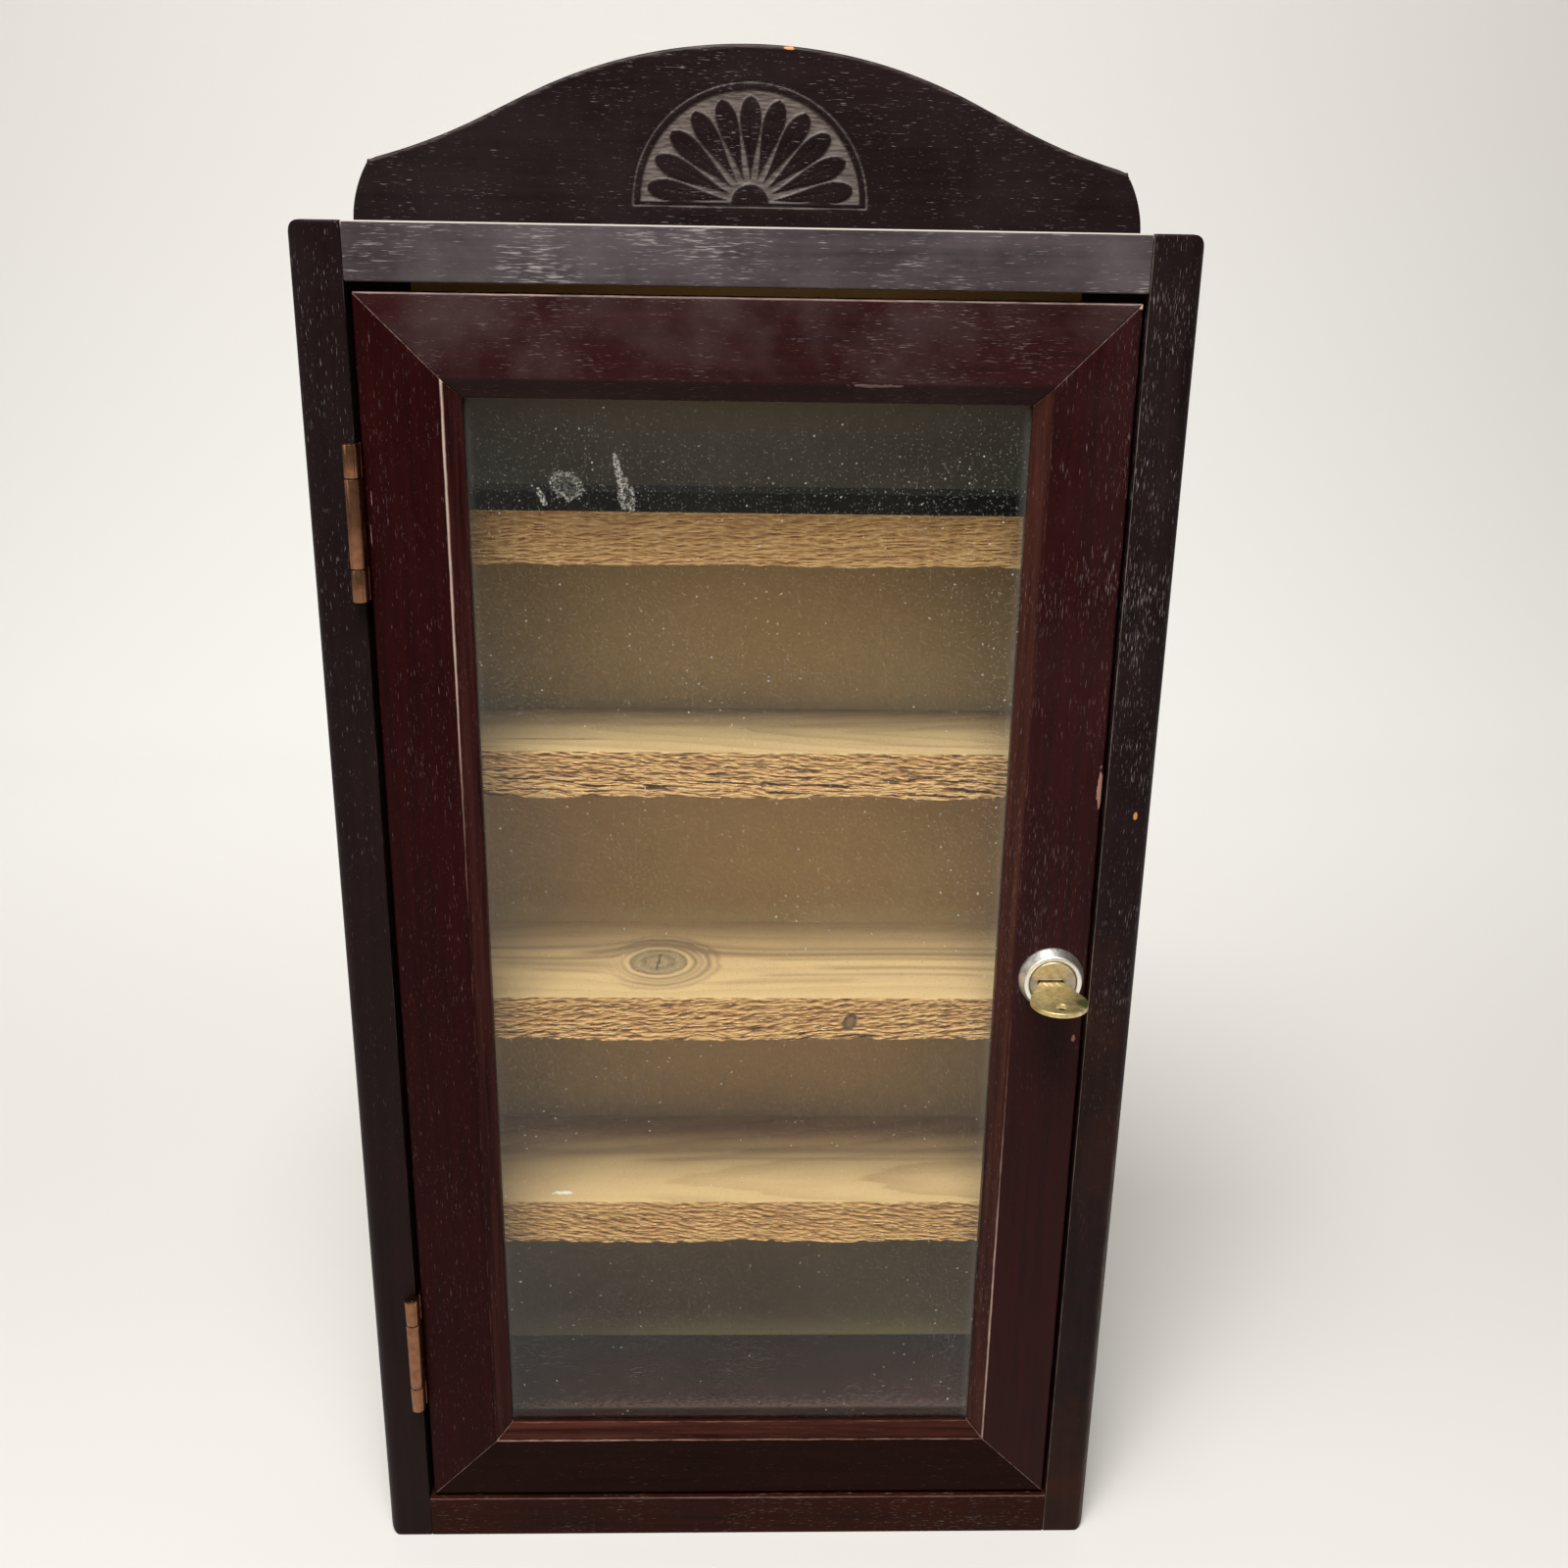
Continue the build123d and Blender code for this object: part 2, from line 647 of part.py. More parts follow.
bead_nails = []
for name, (place, length, count) in door_places().items():
    pins = [place * pin for pin in bead_brads(length, count)]
    bead_nails += pins
    member = without(place * mitred(member_section(), length), pins + splines)
    if name == "stile_left":
        member = without(member, door_screws)
    if name == "stile_right":
        member = member - rod((lock_x, door_front - 1, lock_z), (0, 1, 0), 30, lock_body_radius)
    parts[f"door_{name}"] = member
    parts[f"glazing_bead_{name.split('_')[1]}"] = without(place * mitred(bead_section(), length), pins)
parts["bead_brads"] = Compound(children=bead_nails)
parts["mitre_splines"] = Compound(children=splines)
parts["glass_pane"] = glass_pane()

for name, middle in zip(("upper", "lower"), hinge_heights):
    parts[f"hinge_{name}_case_leaf"] = without(hinge_case_leaf(middle), case_screws)
    parts[f"hinge_{name}_door_leaf"] = without(hinge_door_leaf(middle), door_screws)
    parts[f"hinge_{name}_pin"] = hinge_pin(middle)
parts["hinge_case_screws"] = Compound(children=case_screws)
parts["hinge_door_screws"] = Compound(children=door_screws)

parts["lock_housing"] = lock_housing()
parts["lock_nut"] = lock_nut()
parts["lock_plug"] = lock_plug() - cam_screw()
parts["lock_cam"] = lock_cam()
parts["cam_screw"] = cam_screw()
parts["key"] = key()

os.makedirs("parts", exist_ok=True)
for name, piece in parts.items():
    piece.label = name
    export_step(piece, f"parts/{name}.step")
print(len(parts), "pieces written")
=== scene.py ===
import json
from math import radians
import bmesh
import bpy
import numpy as np
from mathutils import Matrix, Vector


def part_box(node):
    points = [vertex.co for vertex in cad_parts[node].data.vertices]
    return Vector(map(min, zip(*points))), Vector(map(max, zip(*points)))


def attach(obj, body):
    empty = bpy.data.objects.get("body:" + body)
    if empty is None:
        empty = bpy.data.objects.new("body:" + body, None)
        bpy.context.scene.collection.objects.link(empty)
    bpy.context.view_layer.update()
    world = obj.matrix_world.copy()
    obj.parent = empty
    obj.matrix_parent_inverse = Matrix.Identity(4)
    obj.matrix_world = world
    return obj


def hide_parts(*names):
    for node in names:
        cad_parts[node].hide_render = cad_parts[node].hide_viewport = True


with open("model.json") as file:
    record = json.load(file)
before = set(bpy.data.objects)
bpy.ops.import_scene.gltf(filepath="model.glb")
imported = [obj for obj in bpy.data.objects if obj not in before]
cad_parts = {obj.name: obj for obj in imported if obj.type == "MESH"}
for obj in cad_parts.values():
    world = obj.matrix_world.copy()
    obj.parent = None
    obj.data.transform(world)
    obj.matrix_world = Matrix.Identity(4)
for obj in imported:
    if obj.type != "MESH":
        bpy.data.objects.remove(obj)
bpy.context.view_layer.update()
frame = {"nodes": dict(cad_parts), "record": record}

# Knife display cabinet: dark stained case and door, rough-sawn pine shelves, cam lock with its key.
# Metres, X to the right, Y to the back, Z up, with the middle of the base at zero.
mm = 0.001


def linear(hexColour):
    # sRGB hex to the linear colour that shaders take
    channel = np.array([int(hexColour[i:i + 2], 16) for i in (1, 3, 5)]) / 255
    channel = np.where(channel <= 0.04045, channel / 12.92, ((channel + 0.055) / 1.055) ** 2.4)
    return (*channel.tolist(), 1.0)


def addNode(tree, kind, inputs=None, out=0, stops=(), **settings):
    # one shader node; inputs go by socket name or number and hold a value, a hex colour or an output
    node = tree.nodes.new("ShaderNode" + kind)
    for name, value in settings.items():
        setattr(node, name, value)
    for i, (position, colour) in enumerate(stops):
        elements = node.color_ramp.elements
        element = elements[i] if i < 2 else elements.new(position)
        element.position = position
        element.color = linear(colour)
    for name, value in (inputs or {}).items():
        if isinstance(value, bpy.types.NodeSocket):
            tree.links.new(value, node.inputs[name])
        else:
            node.inputs[name].default_value = linear(value) if isinstance(value, str) else value
    return node.outputs[out] if node.outputs else node


def addObject(name, data):
    thing = bpy.data.objects.new(name, data)
    bpy.context.scene.collection.objects.link(thing)
    return thing


def startMaterial(name):
    material = bpy.data.materials.new(name)
    material.use_nodes = True
    material.node_tree.nodes.clear()
    return material, material.node_tree


def closeMaterial(material, inputs):
    # the plain ending: one Principled shader
    shader = addNode(material.node_tree, "BsdfPrincipled", inputs)
    addNode(material.node_tree, "OutputMaterial", {"Surface": shader})
    return material


def grainScale(axis, across, along):
    # Mapping scale for a pattern whose unit is that wide, and that long on the grain's axis, in millimetres
    return [1 / ((along if each == axis else across) * mm) for each in "XYZ"]


def spot(tree, place, size, turn=(0, 0, 0)):
    # 1 in the middle of an ellipsoid and 0 from its edge outwards; its half sizes are in millimetres, and it
    # may be turned, in degrees
    local = addNode(tree, "Mapping", {"Vector": addNode(tree, "TexCoord", out="Object"), "Location": place,
                                      "Rotation": [radians(angle) for angle in turn],
                                      "Scale": [half * mm for half in size]}, vector_type="TEXTURE")
    return addNode(tree, "TexGradient", {"Vector": local}, gradient_type="SPHERICAL", out=1)


def flecks(tree, place, cell, share, size):
    # dots, one to a cube with that edge in millimetres, in that share of the cubes; each has its own strength
    cells = addNode(tree, "Mapping", {"Vector": place, "Scale": [1 / (cell * mm)] * 3})
    near = addNode(tree, "TexVoronoi", {"Vector": cells, "Scale": 1.0})
    dot = addNode(tree, "MapRange", {"Value": near, "From Min": size, "From Max": 0.4 * size})
    chance = addNode(tree, "SeparateColor", {0: near.node.outputs["Color"]})
    chance = addNode(tree, "MapRange", {"Value": chance, "From Min": 1 - share, "From Max": 1.0})
    return addNode(tree, "Math", {0: dot, 1: chance}, operation="MULTIPLY")


def grainNoise(tree, place, scale, detail, roughness=0.5):
    # noise with a scale of its own on each axis, as grainScale gives it
    spots = addNode(tree, "Mapping", {"Vector": place, "Scale": scale})
    return addNode(tree, "TexNoise", {"Vector": spots, "Scale": 1.0, "Detail": detail,
                                      "Roughness": roughness})


def cloud(tree, place, scale, low, high, most=1.0, detail=4.0, roughness=0.62):
    # soft patches of noise, from 0 below the first level to `most` above the second; scale is one number, or
    # one for each axis
    if np.ndim(scale):
        noise = grainNoise(tree, place, scale, detail, roughness)
    else:
        noise = addNode(tree, "TexNoise", {"Vector": place, "Scale": scale, "Detail": detail,
                                           "Roughness": roughness})
    return addNode(tree, "MapRange", {"Value": noise, "From Min": low, "From Max": high, "To Max": most})


def coats(tree, colour, *layers):
    # a colour with further ones laid over it, each by its own share
    for share, coat in layers:
        colour = addNode(tree, "Mix", {0: share, 6: colour, 7: coat}, data_type="RGBA", out=2)
    return colour


def anyRay(tree, *kinds):
    # 1 for a ray of any of these kinds, otherwise 0
    share = addNode(tree, "LightPath", out=kinds[0])
    for kind in kinds[1:]:
        ray = addNode(tree, "LightPath", out=kind)
        share = addNode(tree, "Math", {0: share, 1: ray}, operation="MAXIMUM")
    return share


# What the stains share: widths and lengths of patterns along the grain, in millimetres; cell, share and size
# of the dust specks; noise levels of the pores; heights between which the colour of the foot comes in
woodFinish = dict(figure=(3.2, 90), rub=(1.2, 14), gouge=(0.9, 7), ragged=(1, 3), specks=(1.1, 0.4, 0.2),
                  poreLevels=(0.68, 0.9), footHeights=(0.42, 0.16), hazeRoughness=0.4, poreDepth=0.08 * mm)


def stainedWood(name, look):
    # Open-pored hardwood, stained and rubbed with satin lacquer. The eye sees short pale flecks where dust
    # and wax fill the pores, specks of dust, a faint figure along the grain, and arrises where the finish
    # first wears thin and brown, and then through to pale wood. Along the door's nose the pale line is also a
    # painted highlight.
    look = dict(woodFinish, **look)
    grain = look["grain"]
    material, tree = startMaterial(name)
    place = addNode(tree, "TexCoord", out="Object")
    pores = grainNoise(tree, place, grainScale(grain, *look["pore"]), 2.0, 0.6)
    crowd = cloud(tree, place, 30.0, 0.38, 0.68, look["crowding"])
    pores = addNode(tree, "Math", {0: pores, 1: crowd}, operation="ADD")
    poreEdge, poreMiddle = look["poreLevels"]
    pores = addNode(tree, "MapRange", {"Value": pores, "From Min": poreEdge, "From Max": poreMiddle})
    dust = flecks(tree, place, *look["specks"])
    dust = addNode(tree, "Math", {0: dust, 1: cloud(tree, place, 40.0, 0.4, 0.7, 0.35)}, operation="MULTIPLY")
    pores = addNode(tree, "Math", {0: pores, 1: dust}, operation="MAXIMUM")

    figure = cloud(tree, place, grainScale(grain, *look["figure"]), 0.3, 0.7, detail=5.0)
    # grey haze in patches: part dust film, part painted sheen
    film = cloud(tree, place, 16.0, 0.42, 0.75, look["hazeShare"], 6.0)
    haze, filler = look["haze"], look["filler"]
    if "foot" in look:
        # towards the floor the stain is browner and its pores are less full
        footTop, footEnd = look["footHeights"]
        height = addNode(tree, "SeparateXYZ", {0: place}, out="Z")
        low = addNode(tree, "MapRange", {"Value": height, "From Min": footTop, "From Max": footEnd})
        haze, filler = (coats(tree, coat, (low, look["foot"])) for coat in (haze, filler))
    colour = coats(tree, look["dark"], (figure, look["light"]), (film, haze), (pores, filler))

    # the wear attribute is 1 on a worn arris, and on the door's nose it also carries a painted highlight; the
    # rubbed streaks decide where it breaks through
    rub = grainNoise(tree, place, grainScale(grain, *look["rub"]), 5.0, 0.75)
    wear = addNode(tree, "Attribute", attribute_name="wear", out="Fac")
    worn = addNode(tree, "MapRange", {"Value": wear, "From Min": 0.35, "From Max": 0.8})
    worn = coats(tree, look["thin"], (worn, look["worn"]))
    wear = addNode(tree, "Math", {0: wear, 1: rub}, operation="SUBTRACT")
    wear = addNode(tree, "MapRange", {"Value": wear, "From Min": -0.15, "From Max": 0.25})
    colour = coats(tree, colour, (wear, worn))
    if "ground" in look:
        # cut ground of the carving: paler, with strokes of the gouge along the grain
        smooth, stroked = look["ground"]
        strokes = cloud(tree, place, grainScale(grain, *look["gouge"]), 0.4, 0.62)
        cut = addNode(tree, "Attribute", attribute_name="ground", out="Fac")
        colour = coats(tree, colour, (cut, coats(tree, smooth, (strokes, stroked))))
    if "slope" in look:
        # the sloped inner edge has a tint of its own, without the haze: a lighter red-brown that is partly
        # painted light falling on the slope from the left
        slope = addNode(tree, "Attribute", attribute_name="slope", out="Fac")
        tint = coats(tree, look["slope"], (figure, look["dark"]), (pores, look["filler"]), (wear, worn))
        colour = coats(tree, colour, (slope, tint))

    # chips and scuffs go right through to bare wood; the same spots also lay a painted lit strip on the
    # bottom board and a painted highlight on the top rail's nose
    ragged = grainNoise(tree, place, grainScale(grain, *look["ragged"]), 3.0)
    for middle, size, depth, bare in look.get("chips", ()):
        hole = addNode(tree, "Math", {0: spot(tree, middle, size), 1: ragged}, operation="SUBTRACT")
        hole = addNode(tree, "MapRange", {"Value": hole, "From Min": -depth, "From Max": 0.1 - depth})
        colour = coats(tree, colour, (hole, bare))

    rough = addNode(tree, "MapRange", {"Value": film, "To Min": look["roughness"],
                                       "To Max": look["roughness"] + look["hazeRoughness"]})
    height = addNode(tree, "Math", {0: figure, 1: pores}, operation="SUBTRACT")
    bump = addNode(tree, "Bump", {"Height": height, "Strength": 0.3, "Distance": look["poreDepth"]})
    return closeMaterial(material, {"Base Color": colour, "Roughness": rough, "Normal": bump,
                                    "Specular IOR Level": look["gloss"]})


def shapedPiece(name, points, faces, materials, body, nodes, values=None, uv=None, faceMaterial=None):
    # one mesh object from arrays: faces is a list of arrays, each with one face a row
    corners = np.concatenate([face.ravel() for face in faces])
    sizes = np.concatenate([np.full(len(face), face.shape[1]) for face in faces])
    mesh = bpy.data.meshes.new(name)
    mesh.vertices.add(len(points))
    mesh.vertices.foreach_set("co", np.asarray(points, np.float32).ravel())
    mesh.loops.add(len(corners))
    mesh.loops.foreach_set("vertex_index", corners.astype(np.int32))
    mesh.polygons.add(len(sizes))
    mesh.polygons.foreach_set("loop_start", np.concatenate([[0], np.cumsum(sizes)[:-1]]).astype(np.int32))
    mesh.polygons.foreach_set("loop_total", sizes.astype(np.int32))
    if faceMaterial is not None:
        mesh.polygons.foreach_set("material_index", faceMaterial.astype(np.int32))
    mesh.update(calc_edges=True)
    for attribute, value in (values or {}).items():
        mesh.attributes.new(attribute, "FLOAT", "POINT").data.foreach_set("value", value.astype(np.float32))
    if uv is not None:
        mesh.uv_layers.new(name="grainMap").data.foreach_set("uv", uv[corners].astype(np.float32).ravel())
    return finishedPiece(name, mesh, materials, body, nodes)


def finishedPiece(name, mesh, materials, body, nodes, sharp=40):
    # merges seams and poles, turns every face outwards and keeps creases sharper than the given angle
    shell = bmesh.new()
    shell.from_mesh(mesh)
    bmesh.ops.remove_doubles(shell, verts=shell.verts, dist=0.002 * mm)
    bmesh.ops.recalc_face_normals(shell, faces=shell.faces)
    shell.to_mesh(mesh)
    shell.free()
    mesh.polygons.foreach_set("use_smooth", np.ones(len(mesh.polygons), bool))
    mesh.set_sharp_from_angle(angle=radians(sharp))
    for material in materials:
        mesh.materials.append(material)
    piece = addObject(name, mesh)
    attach(piece, body)
    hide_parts(*nodes)
    return piece


def gridFaces(rows, columns, closeRows=False):
    # quads over a grid of points; with closeRows the last row joins the first
    starts = np.arange(rows if closeRows else rows - 1)
    row, column = np.meshgrid(starts, np.arange(columns - 1), indexing="ij")
    after = (row + 1) % rows
    corners = [row * columns + column, after * columns + column,
               after * columns + column + 1, row * columns + column + 1]
    return np.stack(corners, -1).reshape(-1, 4)


def barFaces(rows, columns):
    # a bar whose outline has `columns` points and is carried through `rows`: the quads over the grid, those
    # that join the outline's last point to its first, and the two end faces
    first, ring = np.arange(rows) * columns, np.arange(columns)
    last = first + columns - 1
    seam = np.stack([last[:-1], first[:-1], first[1:], last[1:]], -1)
    return [gridFaces(rows, columns), seam, np.stack([ring, ring + (rows - 1) * columns])]


def softNoise(u, v, seed):
    # random heights on a lattice, eased from each to the next; 0 to 1
    size = 512
    table = np.random.default_rng(seed).random((size, size))
    i, j = np.floor(u).astype(int), np.floor(v).astype(int)
    s, t = u - i, v - j
    s, t = s * s * (3 - 2 * s), t * t * (3 - 2 * t)
    near, far = (table[i % size, line % size] * (1 - s) + table[(i + 1) % size, line % size] * s
                 for line in (j, j + 1))
    return near * (1 - t) + far * t


def smoothStep(value, low, high):
    share = np.clip((value - low) / (high - low), 0, 1)
    return share * share * (3 - 2 * share)


def easedStations(low, high, lowEase, highEase, step):
    # coordinates along one axis: crowded at both ends, where an arris is rounded, then a steady step
    ramp = np.array([0, 0.1, 0.25, 0.45, 0.7, 1.0, 1.6])
    inner = np.arange(low + ramp[-1] * lowEase, high - ramp[-1] * highEase, step)
    return np.concatenate([low + lowEase * ramp, inner, high - highEase * ramp])


def cellBlock(stations, cuts=()):
    # the skin of a block divided into cells by three lists of coordinates, without the cells that lie in
    # a cut: a quad stands wherever a solid cell meets an open one
    edges = [(lines.min(), lines.max()) for lines in stations]
    planes = [[corner[axis] for cut in cuts for corner in cut] for axis in range(3)]
    lines = [np.unique(np.round(np.clip(np.concatenate([stations[a], planes[a]]), *edges[a]), 7))
             for a in range(3)]
    middle = np.stack(np.meshgrid(*[(line[1:] + line[:-1]) / 2 for line in lines], indexing="ij"), -1)
    solid = np.ones(middle.shape[:3], bool)
    for low, high in cuts:
        solid &= ~((middle > low) & (middle < high)).all(-1)
    counts = [len(line) for line in lines]
    index = np.arange(np.prod(counts)).reshape(counts)
    quads = []
    for axis in range(3):
        cells = np.moveaxis(np.pad(solid, 1), axis, 0)[:, 1:-1, 1:-1]
        corner = np.moveaxis(index, axis, 0)
        i, j, k = np.nonzero(cells[1:] != cells[:-1])
        quads.append(np.stack([corner[i, j, k], corner[i, j + 1, k],
                               corner[i, j + 1, k + 1], corner[i, j, k + 1]], -1))
    used, quads = np.unique(np.concatenate(quads), return_inverse=True)
    points = np.stack(np.meshgrid(*lines, indexing="ij"), -1).reshape(-1, 3)[used]
    return points, quads.reshape(-1, 4)


def roundArrises(points, low, high, radius, face=None):
    # points within one radius of two sides of the box move onto the arc between them; with a face, given
    # as -1 or 1, only the four edges of that X side are rounded
    middle, half = (low + high) / 2, (high - low) / 2
    offset = points - middle
    beyond = np.maximum(np.abs(offset) - (half - radius), 0)
    if face is None:
        reach = np.linalg.norm(beyond, axis=1)
    else:
        beyond[:, 0] *= offset[:, 0] * face > 0
        reach = np.hypot(beyond[:, 0], beyond[:, 1:].max(1))
        reach[beyond[:, 0] == 0] = 0
    scale = np.where(reach > radius, radius / np.maximum(reach, 1e-9), 1)[:, None]
    return middle + np.sign(offset) * (np.abs(offset) - beyond * (1 - scale))


def edgeWear(points, low, high, reach):
    # 1 on the edges of the box and fading over `reach`: a point's second nearest side gives its distance
    sides = np.sort(np.minimum(points - low, high - points), axis=1)
    return np.exp(-(sides[:, 1] / reach) ** 2)


# Camera: at the photograph's place, with its lens
camera = dict(place=(-0.0023, -0.6513, 0.5762), turn=(71.34, -0.91, -1.42), lens=35.74, sensor=36.0)
view = addObject("camera", bpy.data.cameras.new("camera"))
view.data.lens = camera["lens"]
view.data.sensor_width = camera["sensor"]
view.location = camera["place"]
view.rotation_euler = [radians(angle) for angle in camera["turn"]]
bpy.context.scene.camera = view
bpy.context.scene.view_settings.view_transform = "Standard"
print("camera set")


# Stains. pore is the width and length of a pore's pattern in millimetres, and crowding how much denser the
# dense patches are. haze, part dust and part painted sheen, lies over the stain in patches, filler is in the
# pores, and thin and worn show on an arris. A chip has its middle, half sizes in millimetres, depth and
# colour.
caseStain = dict(dark="#120708", light="#1e1212", filler="#9c9694", pore=(0.38, 4.5),
                 crowding=0.09, haze="#281e1f", hazeShare=0.55, thin="#4b3f3d", worn="#a79f94",
                 roughness=0.42, gloss=0.1)
doorStain = dict(dark="#1a0405", light="#2c0909", filler="#8c7a7a", pore=(0.33, 4.5),
                 crowding=0.1, haze="#361d1e", hazeShare=0.4, thin="#74442f", worn="#c4b0a6",
                 roughness=0.38, gloss=0.12)
bareWood, paleScuff, litFloorStrip = "#c58a52", "#9c7468", "#4e3832"
# the left side's stain is darker than the right's; in part this is painted shade on that side
caseLeft = stainedWood("espressoStainLeft", dict(
    caseStain, grain="Z", dark="#120608", light="#1b0d0e", haze="#1d1314", foot="#2a170f", crowding=0.06))
caseRight = stainedWood("espressoStainRight", dict(
    caseStain, grain="Z", thin="#553a2e", foot="#4a2818", crowding=0.12, chips=[
        ((0.1579, -0.062, 0.3644), (1.6, 2, 3), 0.1, bareWood)]))
# the top board's grey haze is heaviest, and stands partly for painted sheen
topStain = stainedWood("greyedEspressoStain", dict(
    caseStain, grain="X", dark="#2a2225", light="#433a3d", haze="#5f5659", hazeShare=0.7, crowding=0.2,
    pore=(0.42, 6), gloss=0.3))
bottomStain = stainedWood("reddenedEspressoStain", dict(
    caseStain, grain="X", dark="#1b0703", light="#2d0f07", haze="#38190d", worn="#7d5f58", gloss=0.07, chips=[
        # a paler strip at the front of the bottom board, ending where the lowest shelf's shadow falls:
        # painted light
        ((0, -0.020, 0.0205), (800, 42, 14), 0.12, litFloorStrip)]))
crestStain = stainedWood("espressoStainCrest", dict(
    caseStain, grain="X", worn="#84776a", ground=("#4b423f", "#776c66"), crowding=0.07, chips=[
        ((0.0134, -0.043, 0.6471), (3.2, 3, 1.1), 0.1, bareWood),
        ((0.1399, -0.043, 0.6063), (2, 3, 1.6), 0.1, bareWood)]))
doorLeft = stainedWood("mahoganyStainLeft", dict(
    doorStain, grain="Z", dark="#180203", light="#270605", haze="#2a0d0b", slope="#42211d", crowding=0.04,
    gloss=0.07, chips=[
        ((-0.1410, -0.0605, 0.4892), (0.35, 3, 8), -0.1, paleScuff),
        ((-0.1420, -0.0605, 0.4745), (0.35, 3, 11), -0.1, paleScuff)]))
doorRight = stainedWood("mahoganyStainRight", dict(
    # the lighter slope tint is partly painted light from the left
    doorStain, grain="Z", foot="#27120d", slope="#45241a", chips=[
        ((0.1432, -0.0605, 0.3755), (2.4, 3, 13), 0.12, paleScuff),
        ((0.1405, -0.0605, 0.2630), (2.4, 3, 3), -0.02, paleScuff),
        ((0.1435, -0.0605, 0.5615), (1.8, 2, 1.8), 0.1, "#b5a084")]))
doorBottom = stainedWood("mahoganyStainBottom", dict(
    doorStain, grain="X", dark="#130402", light="#1d0904", haze="#231008", filler="#6b5348", slope="#45231b",
    crowding=0.03, gloss=0.05))
doorTop = stainedWood("mahoganyStainTop", dict(
    doorStain, grain="X", dark="#1f0b0b", light="#301313", haze="#4d3f3f", hazeShare=0.7, chips=[
        # a pale grey line along the rail's nose: painted highlight
        ((0.0480, -0.0600, 0.5320), (22, 3, 1.3), -0.02, "#93878a")]))
print("stains made")


def caseBoards():
    # Each board is a block of cells with its cuts left out, and its edges are pulled onto arcs. The arris
    # beside the door is worn, and so is the outer one near the foot on the right.
    look = dict(arris=0.7 * mm, outerRound=5.5 * mm, sideSteps=(3 * mm, 8 * mm, 16 * mm),
                crossSteps=(16 * mm, 8 * mm, 4 * mm), panelPlay=0.5 * mm, panelOpen=20 * mm, leaf=0.9 * mm,
                leafDepth=14 * mm, slotDepth=8 * mm, slotWidth=4.8 * mm, slotBelow=17 * mm, slotAbove=8 * mm,
                innerReach=0.5 * mm, outerReach=5 * mm, outerHeights=(0.32, 0.2), crossReach=0.8 * mm,
                frontReach=2 * mm)
    arris, outerRound = look["arris"], look["outerRound"]
    panelLow, panelHigh = np.array(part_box("back_panel"))
    play = np.array([look["panelPlay"], 0, look["panelPlay"]])
    rebate = (panelLow - play, panelHigh + play + [0, look["panelOpen"], 0])
    for side, name, stain, innerWear, outerWear in ((-1, "left", caseLeft, 0.45, 0),
                                                    (1, "right", caseRight, 0.62, 0.5)):
        low, high = np.array(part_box(f"side_{name}"))
        inner, outer = (high[0], low[0]) if side < 0 else (low[0], high[0])
        cuts = [rebate]
        if side < 0:
            for height in ("upper", "lower"):
                leafLow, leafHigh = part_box(f"hinge_{height}_case_leaf")
                cuts.append(((inner - look["leaf"], low[1] - mm, leafLow.z),
                             (inner + mm, low[1] + look["leafDepth"], leafHigh.z)))
        else:
            middle = sum(corner.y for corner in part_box("lock_cam")) / 2
            lockHeight = sum(corner.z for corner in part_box("lock_plug")) / 2
            cuts.append(((inner - mm, middle - look["slotWidth"] / 2, lockHeight - look["slotBelow"]),
                         (inner + look["slotDepth"], middle + look["slotWidth"] / 2,
                          lockHeight + look["slotAbove"])))
        eases = [(outerRound, arris)[::-side], (outerRound, outerRound), (outerRound, outerRound)]
        stations = [easedStations(low[a], high[a], *eases[a], look["sideSteps"][a]) for a in range(3)]
        points, quads = cellBlock(stations, cuts)
        fromInner, fromOuter = (np.hypot(points[:, 0] - edge, points[:, 1] - low[1])
                                for edge in (inner, outer))
        wear = innerWear * np.exp(-(fromInner / look["innerReach"]) ** 2)
        wear = np.maximum(wear, outerWear * np.exp(-(fromOuter / look["outerReach"]) ** 2)
                          * smoothStep(points[:, 2], *look["outerHeights"]))
        points = roundArrises(points, low, high, arris)
        points = roundArrises(points, low, high, outerRound, face=side)
        shapedPiece(f"sideBoard_{name}", points, [quads], [stain], "case", [f"side_{name}"],
                    {"wear": wear})

    for name, stain, frontWear in (("top", topStain, 0.75), ("bottom", bottomStain, 0.3)):
        low, high = np.array(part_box(f"{name}_board"))
        stations = [easedStations(low[a], high[a], arris, arris, look["crossSteps"][a]) for a in range(3)]
        points, quads = cellBlock(stations, [rebate])
        front = np.exp(-((points[:, 1] - low[1]) / look["frontReach"]) ** 2)
        upper = np.exp(-((points[:, 2] - high[2]) / look["frontReach"]) ** 2)
        wear = edgeWear(points, low, high, look["crossReach"]) * (0.3 + frontWear * front * upper)
        points = roundArrises(points, low, high, arris)
        shapedPiece(f"{name}Board", points, [quads], [stain], "case", [f"{name}_board"],
                    {"wear": wear})


caseBoards()
print("case boards made")


